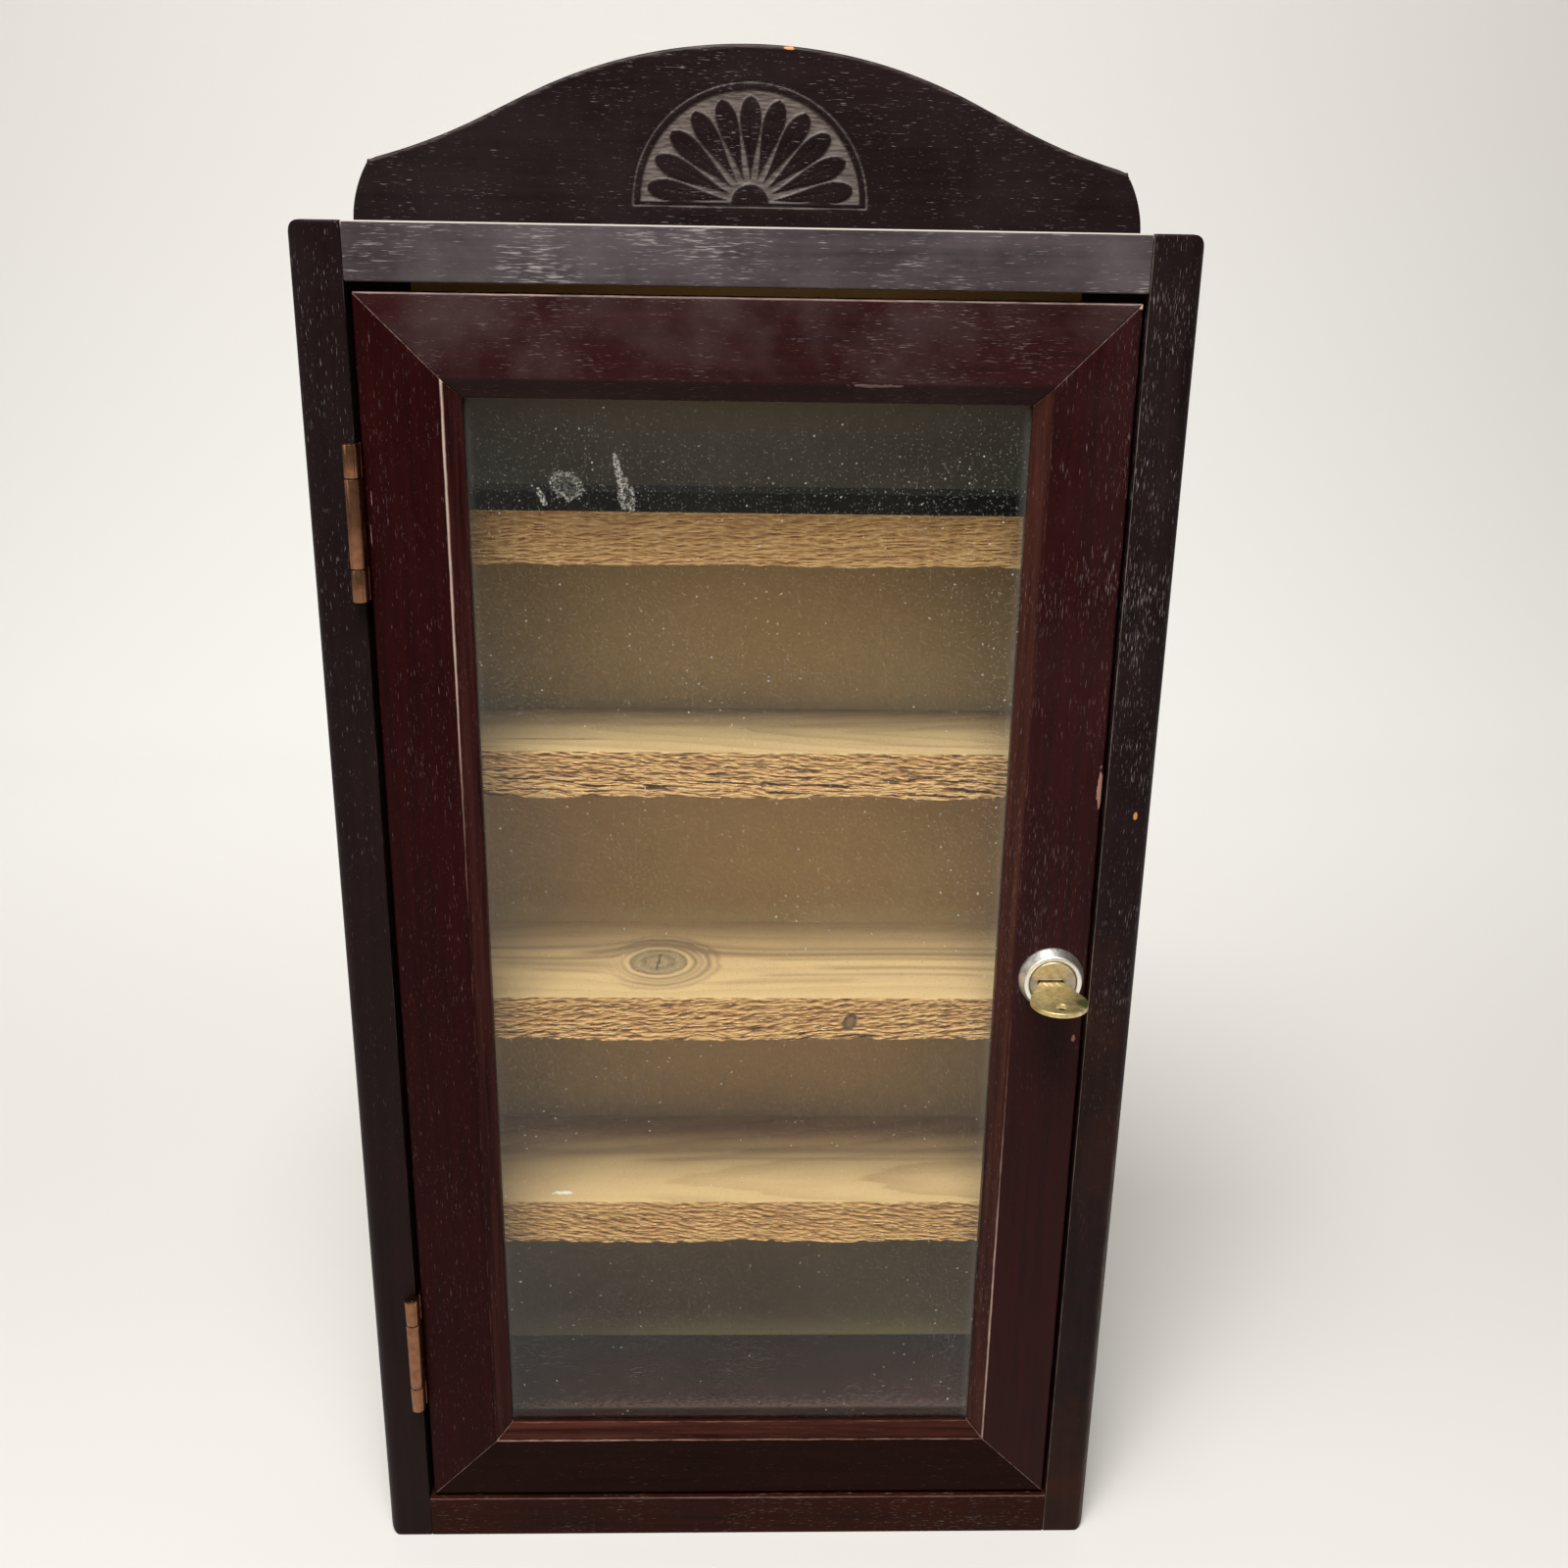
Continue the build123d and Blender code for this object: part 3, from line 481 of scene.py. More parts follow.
def crestBoard():
    # The top edge's steepness rises along the arch, stays the same on the straight and falls in the cove;
    # adding up its cosine and sine gives the edge. Each end is an arc that leaves the foot upright. The fan
    # is given in shares of its half ellipse: a petal's start and length, the hub, the cut ground and the rim.
    look = dict(archRadius=190 * mm, slope=radians(25.3), straight=16.4 * mm, coveRadius=230 * mm,
                coveTurn=radians(11.3), arris=1.2 * mm, fine=0.45 * mm, coarse=2.5 * mm, carved=47 * mm,
                wear=0.42, wearReach=1.4 * mm, fanWidth=44 * mm, fanHeight=42 * mm, fanFoot=8.5 * mm,
                petals=11, petalFrom=0.2, petalLength=0.66, petalFill=0.47, hub=0.155, cutGround=0.91,
                rim=0.97, line=0.45 * mm, footLine=1.3 * mm, vein=0.28 * mm, soft=0.3 * mm, depth=0.55 * mm)
    endPoints, arrisPoints = 6, 5
    low, high = np.array(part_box("crest_board"))
    height, halfBase = high[2] - low[2], high[0]
    lengths = np.cumsum([0, look["archRadius"] * look["slope"], look["straight"],
                         look["coveRadius"] * look["coveTurn"]])
    along = np.linspace(0, lengths[-1], 2000)
    steep = np.interp(along, lengths, [0, look["slope"], look["slope"], look["slope"] - look["coveTurn"]])
    step = along[1] - along[0]
    edgeX = np.concatenate([[0], np.cumsum(np.cos(steep[:-1])) * step])
    edgeZ = height - np.concatenate([[0], np.cumsum(np.sin(steep[:-1])) * step])

    half = np.concatenate([np.arange(0, look["carved"], look["fine"]),
                           np.arange(look["carved"], lengths[-1] - look["coarse"] / 2, look["coarse"]),
                           np.full(endPoints, lengths[-1])])
    turn = np.concatenate([np.zeros(len(half) - endPoints), np.linspace(0, np.pi / 2, endPoints)])
    column = np.concatenate([-half[:0:-1], half])
    turn = np.concatenate([turn[:0:-1], turn])
    sign, reach = np.sign(column), np.abs(column)
    topX, topZ = np.interp(reach, along, edgeX), np.interp(reach, along, edgeZ)
    lean = np.interp(reach, along, steep)
    footX = halfBase * reach / lengths[-1]

    arc = np.linspace(0, np.pi / 2, arrisPoints)
    up = np.concatenate([np.arange(0, 1, look["fine"] / height), np.ones(arrisPoints)])
    drop = look["arris"] * np.concatenate([np.full(len(up) - arrisPoints, 1.0), 1 - np.sin(arc)])
    inward = look["arris"] * np.concatenate([np.zeros(len(up) - arrisPoints), 1 - np.cos(arc)])
    x = footX + (topX - np.sin(lean) * drop[:, None] - footX) * up[:, None]
    z = (topZ - np.cos(lean) * drop[:, None]) * up[:, None]
    endX, endZ = edgeX[-1], edgeZ[-1]
    endRadius = ((halfBase - endX) ** 2 + endZ ** 2) / (2 * (halfBase - endX))
    bulge = endRadius - np.sqrt(endRadius ** 2 - np.minimum(z, endZ) ** 2)
    chord = (halfBase - endX) * np.minimum(z, endZ) / endZ
    atEnd = reach == lengths[-1]
    x = x + (chord - bulge) * smoothStep(reach / lengths[-1], 0.9, 1.0) - look["arris"] * atEnd
    x = sign * (x + look["arris"] * np.sin(turn) * atEnd)

    # fan carving: in a half ellipse the ground is cut back between petals that spread from a half round
    fanX, fanZ = x / look["fanWidth"], (z - look["fanFoot"]) / look["fanHeight"]
    out, angle = np.hypot(fanX, fanZ), np.arctan2(fanZ, fanX)
    scale, soft = (look["fanWidth"] + look["fanHeight"]) / 2, look["soft"]
    cell = np.pi / look["petals"]
    offAxis = np.abs((angle / cell) % 1 - 0.5) * cell
    share = np.clip((out - look["petalFrom"]) / look["petalLength"], 0, 1)
    petalHalf = look["petalFill"] * cell * np.sqrt(np.clip(np.sin(np.pi * share ** 1.5), 0, 1))
    petal = smoothStep((petalHalf - offAxis) * out * scale, -soft, soft) * (share > 0) * (share < 1)
    vein = smoothStep(look["vein"] - offAxis * out * scale, 0, soft) * (share > 0.12) * (share < 0.8)
    hub = smoothStep((look["hub"] - out) * scale, -soft, soft)
    petal, hub, vein = (part * (z > look["fanFoot"] + soft) for part in (petal, hub, vein))
    inFan = smoothStep((look["cutGround"] - out) * scale, -soft, soft)
    ground = inFan * smoothStep(z - look["fanFoot"], 0, 2 * soft) * (1 - np.maximum(petal, hub))
    rim = smoothStep(look["line"] - np.abs(out - look["rim"]) * scale, 0, soft) * (fanZ > -0.035)
    foot = smoothStep(look["line"] - np.abs(z - look["fanFoot"] + look["footLine"]), 0, soft)
    foot = foot * (np.abs(fanX) < look["rim"])
    ground = np.maximum(ground, np.maximum(rim, foot) * 0.8)
    carve = look["depth"] * np.maximum(ground, 0.45 * vein * petal)

    thick, middleY = (high[1] - low[1]) / 2, (low[1] + high[1]) / 2
    halfY = (thick - inward[:, None]) * (1 - look["arris"] * (1 - np.cos(turn)) / thick)
    front = np.stack([x, middleY - halfY + carve, low[2] + z], -1)
    back = np.stack([x, middleY + halfY, low[2] + z], -1)[::-1]
    points = np.concatenate([front, back]).reshape(-1, 3)
    rows, columns = 2 * len(up), len(column)
    edge = np.exp(-((1 - up) * height / look["wearReach"]) ** 2)[:, None] * np.ones(columns)
    wear = look["wear"] * np.concatenate([edge, edge[::-1]]).ravel()
    groundAll = np.concatenate([ground * 0.85, np.zeros_like(ground)]).ravel()
    rise = np.arange(len(up))
    caps = [np.stack([rise[:-1], rise[1:], rows - 1 - rise[1:], rows - 1 - rise[:-1]], -1) * columns + end
            for end in (0, columns - 1)]
    shapedPiece("crestBoard", points, [gridFaces(rows, columns, True), *caps], [crestStain], "case",
                ["crest_board"], {"wear": wear, "ground": groundAll})


crestBoard()
print("crest made")


def roundedOutline(corners, radii):
    # a polygon with arcs for corners: each arc runs between the points where a circle of its radius
    # touches the two sides, with one more point a margin further out on each side
    margin, share = 1.5 * mm, np.linspace(0, 1, 6)[:, None]
    corners = np.array(corners)
    points = []
    for i, radius in enumerate(radii):
        sides = [corners[i - 1] - corners[i], corners[(i + 1) % len(corners)] - corners[i]]
        before, after = (side / np.linalg.norm(side) for side in sides)
        halfAngle = np.arccos(before @ after) / 2
        reach = radius / np.tan(halfAngle)
        if radius == 0:
            points.append(corners[i])
            continue
        centre = corners[i] + (before + after) / np.linalg.norm(before + after) * radius / np.sin(halfAngle)
        first, last = corners[i] + before * reach - centre, corners[i] + after * reach - centre
        arc = first * (1 - share) + last * share
        arc = centre + arc / np.linalg.norm(arc, axis=1, keepdims=True) * radius
        points += [corners[i] + before * (reach + margin), *arc, corners[i] + after * (reach + margin)]
    return np.array(points)


def doorFrame():
    # Four lengths of one section, mitred: every point of the section runs from its own distance inwards,
    # so the ends meet at 45 degrees.
    look = dict(width=37.2 * mm, flat=29.9 * mm, bevelDepth=4.6 * mm, lipDepth=6.8 * mm, rebate=7.2 * mm,
                outerRound=1.2 * mm, noseRound=2.4 * mm, lipRound=0.3 * mm, gap=0.08 * mm, groove=0.35 * mm,
                grooveReach=0.2 * mm, ends=(0, 0.15, 0.35, 0.7, 1.3, 2.5, 5), plain=12 * mm, step=14 * mm,
                mitreWear=0.62, mitreReach=0.35 * mm, noseReach=0.7 * mm, outerReach=0.9 * mm,
                lipReach=0.8 * mm)
    leftLow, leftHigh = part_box("door_stile_left")
    low = np.array([leftLow.x, leftLow.y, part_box("door_rail_bottom")[0].z])
    high = np.array([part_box("door_stile_right")[1].x, leftHigh.y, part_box("door_rail_top")[1].z])
    wide, thick, tall = high - low
    wall = look["width"] - look["rebate"]
    section = roundedOutline(
        [(0, thick), (0, 0), (look["flat"], 0), (look["width"], look["bevelDepth"]),
         (look["width"], look["lipDepth"]), (wall, look["lipDepth"]), (wall, thick)],
        [0, look["outerRound"], look["noseRound"], look["lipRound"], 0, 0, 0])
    inward, deep = section.T
    front = (deep < look["lipDepth"] - 0.1 * mm) & (inward > 0.5 * mm)
    noseAt = np.hypot(inward - look["flat"] - 0.5 * mm, deep - 0.4 * mm) / look["noseReach"]
    outerAt = np.hypot(inward, deep) / look["outerReach"]
    lipAt = np.hypot(inward - look["width"], deep - look["bevelDepth"]) / look["lipReach"]
    onSlope = (inward > look["flat"] + 0.6 * mm) & (inward < look["width"] + mm)
    onSlope = (onSlope & (deep < look["bevelDepth"] + 0.4 * mm)).astype(float)
    # corner where each starts, way inwards, way along, length and stain; wear on the first and the last part
    # of the nose, which also stands for a painted highlight along it, on the outer arris and on the lip
    members = {
        "stile_left": ((low[0], low[2]), (1, 0), (0, 1), tall, doorLeft, (0.4, 0.86), 0.3, 0.2),
        "stile_right": ((high[0], high[2]), (-1, 0), (0, -1), tall, doorRight, (0.38, 0.72), 0.5, 0.3),
        "rail_top": ((low[0], high[2]), (0, -1), (1, 0), wide, doorTop, (0.1, 0.3), 0.85, 0.1),
        "rail_bottom": ((high[0], low[2]), (0, 1), (-1, 0), wide, doorBottom, (0.52, 0.62), 0.4, 0.42)}
    ends = np.array(look["ends"]) * mm
    for name, (corner, inWay, alongWay, length, stain, noseWearAndHighlight, outerWear, lipWear) in members.items():
        stations = np.concatenate([ends, np.arange(look["plain"], length - look["plain"], look["step"]),
                                   length - ends[::-1]])
        share = stations[:, None] / length
        fromEnd = np.minimum(stations, length - stations)[:, None]
        along = inward + look["gap"] + (length - 2 * inward - 2 * look["gap"]) * share
        depth = deep + look["groove"] * np.exp(-fromEnd / look["grooveReach"]) * front
        x, z = (corner[a] + inWay[a] * inward + alongWay[a] * along for a in (0, 1))
        points = np.stack([x, low[1] + depth, z], -1).reshape(-1, 3)
        mitre = look["mitreWear"] * np.exp(-(fromEnd / look["mitreReach"]) ** 2) * front
        nose = noseWearAndHighlight[0] + (noseWearAndHighlight[1] - noseWearAndHighlight[0]) * smoothStep(share, 0.5, 0.85)
        wear = np.maximum(mitre, nose * np.exp(-noseAt ** 2))
        wear = np.maximum(wear, np.maximum(outerWear * np.exp(-outerAt ** 2), lipWear * np.exp(-lipAt ** 2)))
        rows, columns = len(stations), len(section)
        shapedPiece(f"door_{name}_dressed", points, barFaces(rows, columns), [stain], "door",
                    [f"door_{name}"], {"wear": wear.ravel(), "slope": np.tile(onSlope, rows)})


doorFrame()
print("door frame made")


def pineTop(name, look):
    # Planed pine: calm cream early wood that darkens towards each late-wood line, and grey knots with a
    # crack. The map holds the way along the grain in metres and the number of the growth ring; the streak
    # attribute adds the dark and grey streaks, and calm takes the lines away where the wood is plain.
    look = dict(look, split="#2d251c", smear="#ece8dc")
    material, tree = startMaterial(name)
    place = addNode(tree, "TexCoord", out="Object")
    ringMap = addNode(tree, "UVMap", uv_map="grainMap")
    waver = grainNoise(tree, place, grainScale("X", 9, 70), 3.0)
    ring = addNode(tree, "SeparateXYZ", {0: ringMap}, out=1)
    ring = addNode(tree, "Math", {0: ring, 1: waver}, operation="ADD")
    ring = addNode(tree, "Math", {0: ring, 1: 1.0}, operation="FRACT")
    late = addNode(tree, "MapRange", {"Value": ring, "From Min": 0.35, "From Max": 0.92})
    sharp = addNode(tree, "MapRange", {"Value": ring, "From Min": 1.0, "From Max": 0.94})
    calm = addNode(tree, "Attribute", attribute_name="calm", out="Fac")
    calm = addNode(tree, "MapRange", {"Value": calm, "To Min": 0.8, "To Max": 0.1})
    for share in (sharp, cloud(tree, ringMap, (6.0, 0.8, 1.0), 0.2, 0.62), calm):
        late = addNode(tree, "Math", {0: late, 1: share}, operation="MULTIPLY")
    fibre = cloud(tree, place, grainScale("X", 0.9, 24), 0.4, 0.68, 0.2)
    grey = cloud(tree, ringMap, (9.0, 0.5, 1.0), 0.5, 0.75, 0.4)
    streak = addNode(tree, "Attribute", attribute_name="streak", out="Fac")
    knot = addNode(tree, "Attribute", attribute_name="knot", out="Fac")
    knotFine = addNode(tree, "TexNoise", {"Vector": place, "Scale": 600.0, "Detail": 5.0, "Roughness": 0.7})
    knotFine = addNode(tree, "ValToRGB", {0: knotFine}, stops=look["knot"])
    split = addNode(tree, "Attribute", attribute_name="split", out="Fac")
    # a smear of dried filler, on the fourth shelf
    ragged = addNode(tree, "TexNoise", {"Vector": place, "Scale": 500.0, "Detail": 4.0})
    smear = spot(tree, (-0.0841, -0.0131, 0.1563), (9, 2.2, 4))
    smear = addNode(tree, "Math", {0: smear, 1: ragged}, operation="SUBTRACT")
    smear = addNode(tree, "MapRange", {"Value": smear, "From Min": -0.2, "From Max": 0.05, "To Max": 0.85})
    colour = coats(tree, look["early"], (late, look["late"]), (fibre, look["fibre"]), (grey, look["grey"]),
                   (streak, look["streak"]), (knot, knotFine), (split, look["split"]),
                   (smear, look["smear"]))
    bump = addNode(tree, "Bump", {"Height": fibre, "Strength": 0.3, "Distance": 0.1 * mm})
    return closeMaterial(material, {"Base Color": colour, "Roughness": 0.62, "Normal": bump,
                                    "Specular IOR Level": look["gloss"]})


def pineSawn():
    # Band-sawn pine face: torn golden fibres. What lies deep, by the hollow attribute, is painted dark as
    # painted shade, and the crests of the fibres are painted pale as painted highlight, over the real relief.
    look = dict(depthShading=[(0.1, "#e3bb82"), (0.3, "#cc9c64"), (0.62, "#ae7e49"), (0.9, "#825a32"),
                        (1.0, "#523620")], patch="#9c6c42", knot="#4c3a2c")
    material, tree = startMaterial("sawnPine")
    grainMap = addNode(tree, "UVMap", uv_map="grainMap")
    hollow = addNode(tree, "Attribute", attribute_name="hollow", out="Fac")
    streak = cloud(tree, grainMap, (260.0, 1500.0, 1.0), 0.3, 0.7, 0.36)
    tone = addNode(tree, "Math", {0: hollow, 1: streak}, operation="ADD")
    # colour by depth: painted shade in the hollows and painted highlight on the crests
    colour = addNode(tree, "ValToRGB", {0: tone}, stops=look["depthShading"])
    patch = cloud(tree, grainMap, (30.0, 90.0, 1.0), 0.48, 0.72, 0.4)
    knot = addNode(tree, "Attribute", attribute_name="knot", out="Fac")
    colour = coats(tree, colour, (patch, look["patch"]), (knot, look["knot"]))
    return closeMaterial(material, {"Base Color": colour, "Roughness": 0.8})


def plainPine():
    # Planed pine strip, read straight from its place: the grain runs front to back
    material, tree = startMaterial("cleatPine")
    place = addNode(tree, "TexCoord", out="Object")
    bands = grainNoise(tree, place, grainScale("Y", 2.2, 60), 4.0)
    colour = addNode(tree, "ValToRGB", {0: bands}, stops=[(0.3, "#a8895c"), (0.5, "#c8a975"),
                                                          (0.7, "#d8be90")])
    return closeMaterial(material, {"Base Color": colour, "Roughness": 0.6})


planedPine = pineTop("planedPine", dict(
    early="#d2af7f", late="#9a7549", fibre="#b08f62", grey="#a98b6c", streak="#7c6145", gloss=0.4,
    knot=[(0.3, "#56442f"), (0.5, "#7b664b"), (0.7, "#968163")]))
# near-black planed pine for the first shelf; in part this is painted shade under the top rail
shadowBlackPine = pineTop("shadowBlackPine", dict(
    early="#11100f", late="#0d0c0b", fibre="#0b0a0a", grey="#161413", streak="#0b0a0a", gloss=0.1,
    knot=[(0.3, "#0b0a0a"), (0.5, "#11100f"), (0.7, "#171615")]))
sawnPine, cleatPine = pineSawn(), plainPine()


def tornFace(board, u, v, low, high, seed):
    # Ridges stand out where soft noise, long in X and short in Z, passes its middle value, and crevices go
    # deep. The result is how deep each point lies, from 0 to 1, the height that its fibre started from, and
    # how close it is to the lower edge. A size of fibre has its length, width and share.
    fibres = ((6.5, 1.2, 0.42), (3.8, 0.85, 0.33), (2.3, 0.65, 0.25))
    bent = v + board["slope"] * u + 2.2 * mm * softNoise(u / (17 * mm), v / (6 * mm), seed)
    ridges = sum(share * (1 - np.abs(2 * softNoise(u / (length * mm), bent / (width * mm), seed + i) - 1))
                 for i, (length, width, share) in enumerate(fibres, 1))
    lower = smoothStep((high[2] - v) / (high[2] - low[2]), board["crevicesFrom"] - 0.1, 1.0)
    crevice = softNoise(u / (board["creviceLength"] * mm), bent / (1.2 * mm), seed + 4)
    crevice = smoothStep(crevice, 0.55, 0.85) * board["crevice"] * (0.12 + 0.88 * lower)
    hollow = board["tone"] - (ridges - 0.5) * 1.15 * board["torn"] + 0.75 * crevice - 0.12 * lower
    return np.clip(hollow, 0, 1), bent, lower


def wornEdge(board, x, seed):
    # how far the lower edge wanders, from 0 to 1: three sizes of soft noise, and steps of a few points each
    stepCount, stepPoints, flat = 90, 12, 0 * x
    steps = softNoise(np.arange(stepCount) * 1.7, np.zeros(stepCount), seed + 7)
    steps = np.repeat(steps, stepPoints)[:len(x)]
    wander = 0.55 * softNoise(x / (45 * mm), flat, seed + 5) + 0.25 * softNoise(x / (11 * mm), flat, seed + 6)
    return wander + 0.14 * steps + 0.14 * softNoise(x / (2.2 * mm), flat, seed + 8)


def growthRings(board, number, u, y, seed):
    # The rings are counted across the grain. In a cathedral figure their number falls along it, so that the
    # lines open from a point. Round a knot they spread like a stream round a pillar, and close up beyond it.
    across = y + 7 * mm * (softNoise(u / (80 * mm), y / (45 * mm) + 0 * u, seed + 9) - 0.5)
    knot, split, streak, calm = (np.zeros_like(u) for _ in range(4))
    if "knot" in board:
        knotX, knotY, halfLength, halfWidth = (value * mm for value in board["knot"])
        offX, offY = u - knotX, y - knotY
        wobble = 1 + 0.06 * (softNoise(u / (5 * mm), y / (5 * mm) + 0 * u, seed + 30) - 0.5)
        far = np.hypot(offX / halfLength, offY / halfWidth) * wobble + 1e-6
        across = across - offY / far ** 2 * np.exp(-(np.maximum(far - 1, 0) / 2.2) ** 2)
        for reach, width, depth in ((1.17, 0.08, 0.75), (1.36, 0.07, 0.5), (1.6, 0.1, 0.7), (1.9, 0.09, 0.4)):
            ripple = depth * np.exp(-((far - reach) / width) ** 2)
            streak += ripple * smoothStep(offX / halfLength, -1.8, -0.4)
        calm = smoothStep(2.4 - far, 0, 0.8)
        knot = (1 - smoothStep(far, 0.9, 0.99)) * (0.86 + 0.14 * np.cos(far * 14))
        split = smoothStep(0.6 * mm - np.abs(offX - 0.08 * offY), 0, 0.4 * mm) * (np.abs(offY) < 9 * mm)
    ring = across / (board["ring"] * mm) + number
    if "apex" in board:
        apexX, apexY, run = (value * mm for value in board["apex"])
        ring = np.hypot((across - apexY) / (board["ring"] * mm), 0.5) - (u - apexX) / run
        calm = smoothStep(22 * mm - np.abs(across - apexY), 0, 8 * mm)
        calm = smoothStep(apexX + 12 * mm - u, 0, 30 * mm) * calm
    for middle, width, begin, end, depth in board["streaks"]:
        inside = smoothStep(u, begin * mm, (begin + 18) * mm) * smoothStep(end * mm - u, 0, 18 * mm)
        streak = streak + depth * inside * np.exp(-((across - middle * mm) / (width * mm)) ** 2)
    return ring, knot, split, np.clip(streak, 0, 0.9) * (1 - knot), np.maximum(calm, board["calm"])


def shelves():
    # Each shelf is one closed outline in Y and Z carried along X: top, front arris, sawn front, underside
    look = dict(arris=0.8 * mm, stepX=0.7 * mm, stepZ=0.3 * mm, stepTop=1.3 * mm, stepUnder=7 * mm,
                tear=1.5 * mm, edgeDepth=9 * mm)
    # Front: its tone, how strong the fibres are and how they slope; how deep and how long the crevices are
    # and from what share of the height down they come; how far the lower edge wanders; a knot's middle in X
    # and Z and its radius. Top: width of a ring, share of plain wood, and for a cathedral figure its apex in
    # X and Y and the run of one ring; a knot's middle in X and Y, half length and half width; and streaks
    # along the grain, with middle, half width, first and last X, and strength. Lengths are in millimetres.
    boards = {
        1: dict(tone=0.32, torn=0.75, slope=-0.03, crevice=0.3, creviceLength=9, crevicesFrom=0.72, edge=3.0,
                ring=7.5, calm=0, streaks=()),
        2: dict(tone=0.42, torn=1.1, slope=0.05, crevice=1.7, creviceLength=13, crevicesFrom=0.35, edge=3.6,
                frontKnot=(8.1, 360.0, 1.1), ring=11, calm=0.4, apex=(-70, 22, 60), streaks=[
                    (7, 1.0, -118, -55, 0.9), (-4, 0.8, -155, -88, 0.6), (2, 0.8, 35, 160, 0.5),
                    (30, 5, -160, 160, 0.3)]),
        3: dict(tone=0.46, torn=1.05, slope=-0.10, crevice=0.7, creviceLength=7, crevicesFrom=0.5, edge=2.4,
                frontKnot=(47.7, 253.5, 3.2), ring=11, calm=0.65, knot=(-39.3, 9.6, 14.6, 15.0), streaks=[
                    (18, 2.6, -85, 160, 0.7), (24, 1.6, -160, 160, 0.5), (12.5, 1.1, 0, 160, 0.45),
                    (8, 3.4, -125, -50, 0.5), (13.5, 1.2, -160, -45, 0.6), (2.5, 1.6, 30, 160, 0.5),
                    (-4, 1.3, 0, 120, 0.45), (2, 1.2, -105, -55, 0.45), (-10, 2.0, -20, 60, 0.3),
                    (0, 60, -160, 160, 0.16)]),
        4: dict(tone=0.43, torn=0.9, slope=0.10, crevice=0.4, creviceLength=7, crevicesFrom=0.65, edge=2.8,
                ring=14, calm=0.3, apex=(-34, -2, 80), streaks=[
                    (24, 3.5, -160, 160, 0.5), (16, 1.6, -60, 160, 0.4), (0, 60, -160, 160, 0.14)])}
    arris, arc = look["arris"], np.linspace(0, np.pi / 2, 5)
    for number, board in boards.items():
        low, high = np.array(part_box(f"shelf_{number}"))
        x = np.linspace(low[0], high[0], int((high[0] - low[0]) / look["stepX"]))
        topY = np.arange(high[1], low[1] + 2 * arris, -look["stepTop"])
        underY = np.arange(low[1] + 2 * arris, high[1] - 2 * mm, look["stepUnder"])
        frontZ = np.arange(high[2] - arris, low[2] + 0.3 * mm, -look["stepZ"])[1:]
        loopY = np.concatenate([topY, low[1] + arris * (1 - np.sin(arc)), np.full(len(frontZ), low[1]),
                                [low[1]], underY, high[1:2]])
        loopZ = np.concatenate([np.full(len(topY), high[2]), high[2] - arris * (1 - np.cos(arc)), frontZ,
                                [low[2]], np.full(len(underY), low[2]), low[2:3]])
        order = np.arange(len(loopY))
        frontFrom, frontTo = len(topY) + 2, len(topY) + len(arc) + len(frontZ)      # from the arris's middle
        isFront = (order >= frontFrom) & (order <= frontTo)
        u, v = np.meshgrid(x, loopZ, indexing="ij")
        seed = 10 * number
        hollow, bent, lower = tornFace(board, u, v, low, high, seed)
        ring, knot, split, streak, calm = growthRings(board, number, u, loopY, seed)
        if "frontKnot" in board:
            # the sawn face runs level over a knot, which is palest in its middle
            knotX, knotZ, radius = (value * mm for value in board["frontKnot"])
            far = np.hypot((u - knotX - 0.2 * (v - knotZ)) / radius, (v - knotZ) / (1.45 * radius))
            inFront = 1 - smoothStep(far, 0.8, 1.1)
            hollow = hollow + (0.5 - hollow) * inFront
            inFront = inFront * (0.95 - 0.5 * (1 - smoothStep(far, 0.3, 0.75)))
            knot = np.where(isFront, inFront, knot)
        inward = look["tear"] * hollow * isFront
        wander = board["edge"] * mm * wornEdge(board, x, seed)[:, None] * lower ** 3
        wander = wander * (loopY < low[1] + look["edgeDepth"])
        points = np.stack([u, np.broadcast_to(loopY, u.shape) + inward, v + wander], -1).reshape(-1, 3)
        values = {"hollow": hollow, "knot": knot, "split": split * (order < frontFrom), "streak": streak,
                  "calm": calm}
        uv = np.stack([u, np.where(isFront, bent, ring)], -1).reshape(-1, 2)
        faces = barFaces(len(x), len(loopY))
        sawn = np.tile(isFront[:-1] & isFront[1:], len(x) - 1)
        faceMaterial = np.concatenate([sawn, np.zeros(len(faces[1])), np.ones(len(faces[2]))])
        # the first shelf gets the near-black pine, partly painted shade
        planed = shadowBlackPine if number == 1 else planedPine
        shapedPiece(f"shelfBoard_{number}", points, faces, [planed, sawnPine], "case",
                    [f"shelf_{number}"], {key: value.ravel() for key, value in values.items()}, uv=uv,
                    faceMaterial=faceMaterial)


shelves()
print("shelves made")


def tanPanel():
    # Thin smooth fibreboard with a tan wash: very soft clouds, fine specks, and a paler middle that is
    # painted light
    look = dict(wash="#dbbb7f", clouds="#e9cd93", litPatch="#fbe0a8", specks="#95804f")
    material, tree = startMaterial("tanFibreboard")
    place = addNode(tree, "TexCoord", out="Object")
    shares = dict(clouds=cloud(tree, place, grainScale("X", 40, 160), 0.3, 0.7, detail=3.0),
                  # a paler patch over the second bay: painted light
                  litPatch=spot(tree, (0.0, 0.056, 0.42), (300, 100, 90)),
                  specks=cloud(tree, place, 650.0, 0.45, 0.75, 0.14))
    colour = coats(tree, look["wash"], *[(share, look[coat]) for coat, share in shares.items()])
    return closeMaterial(material, {"Base Color": colour, "Roughness": 0.6})


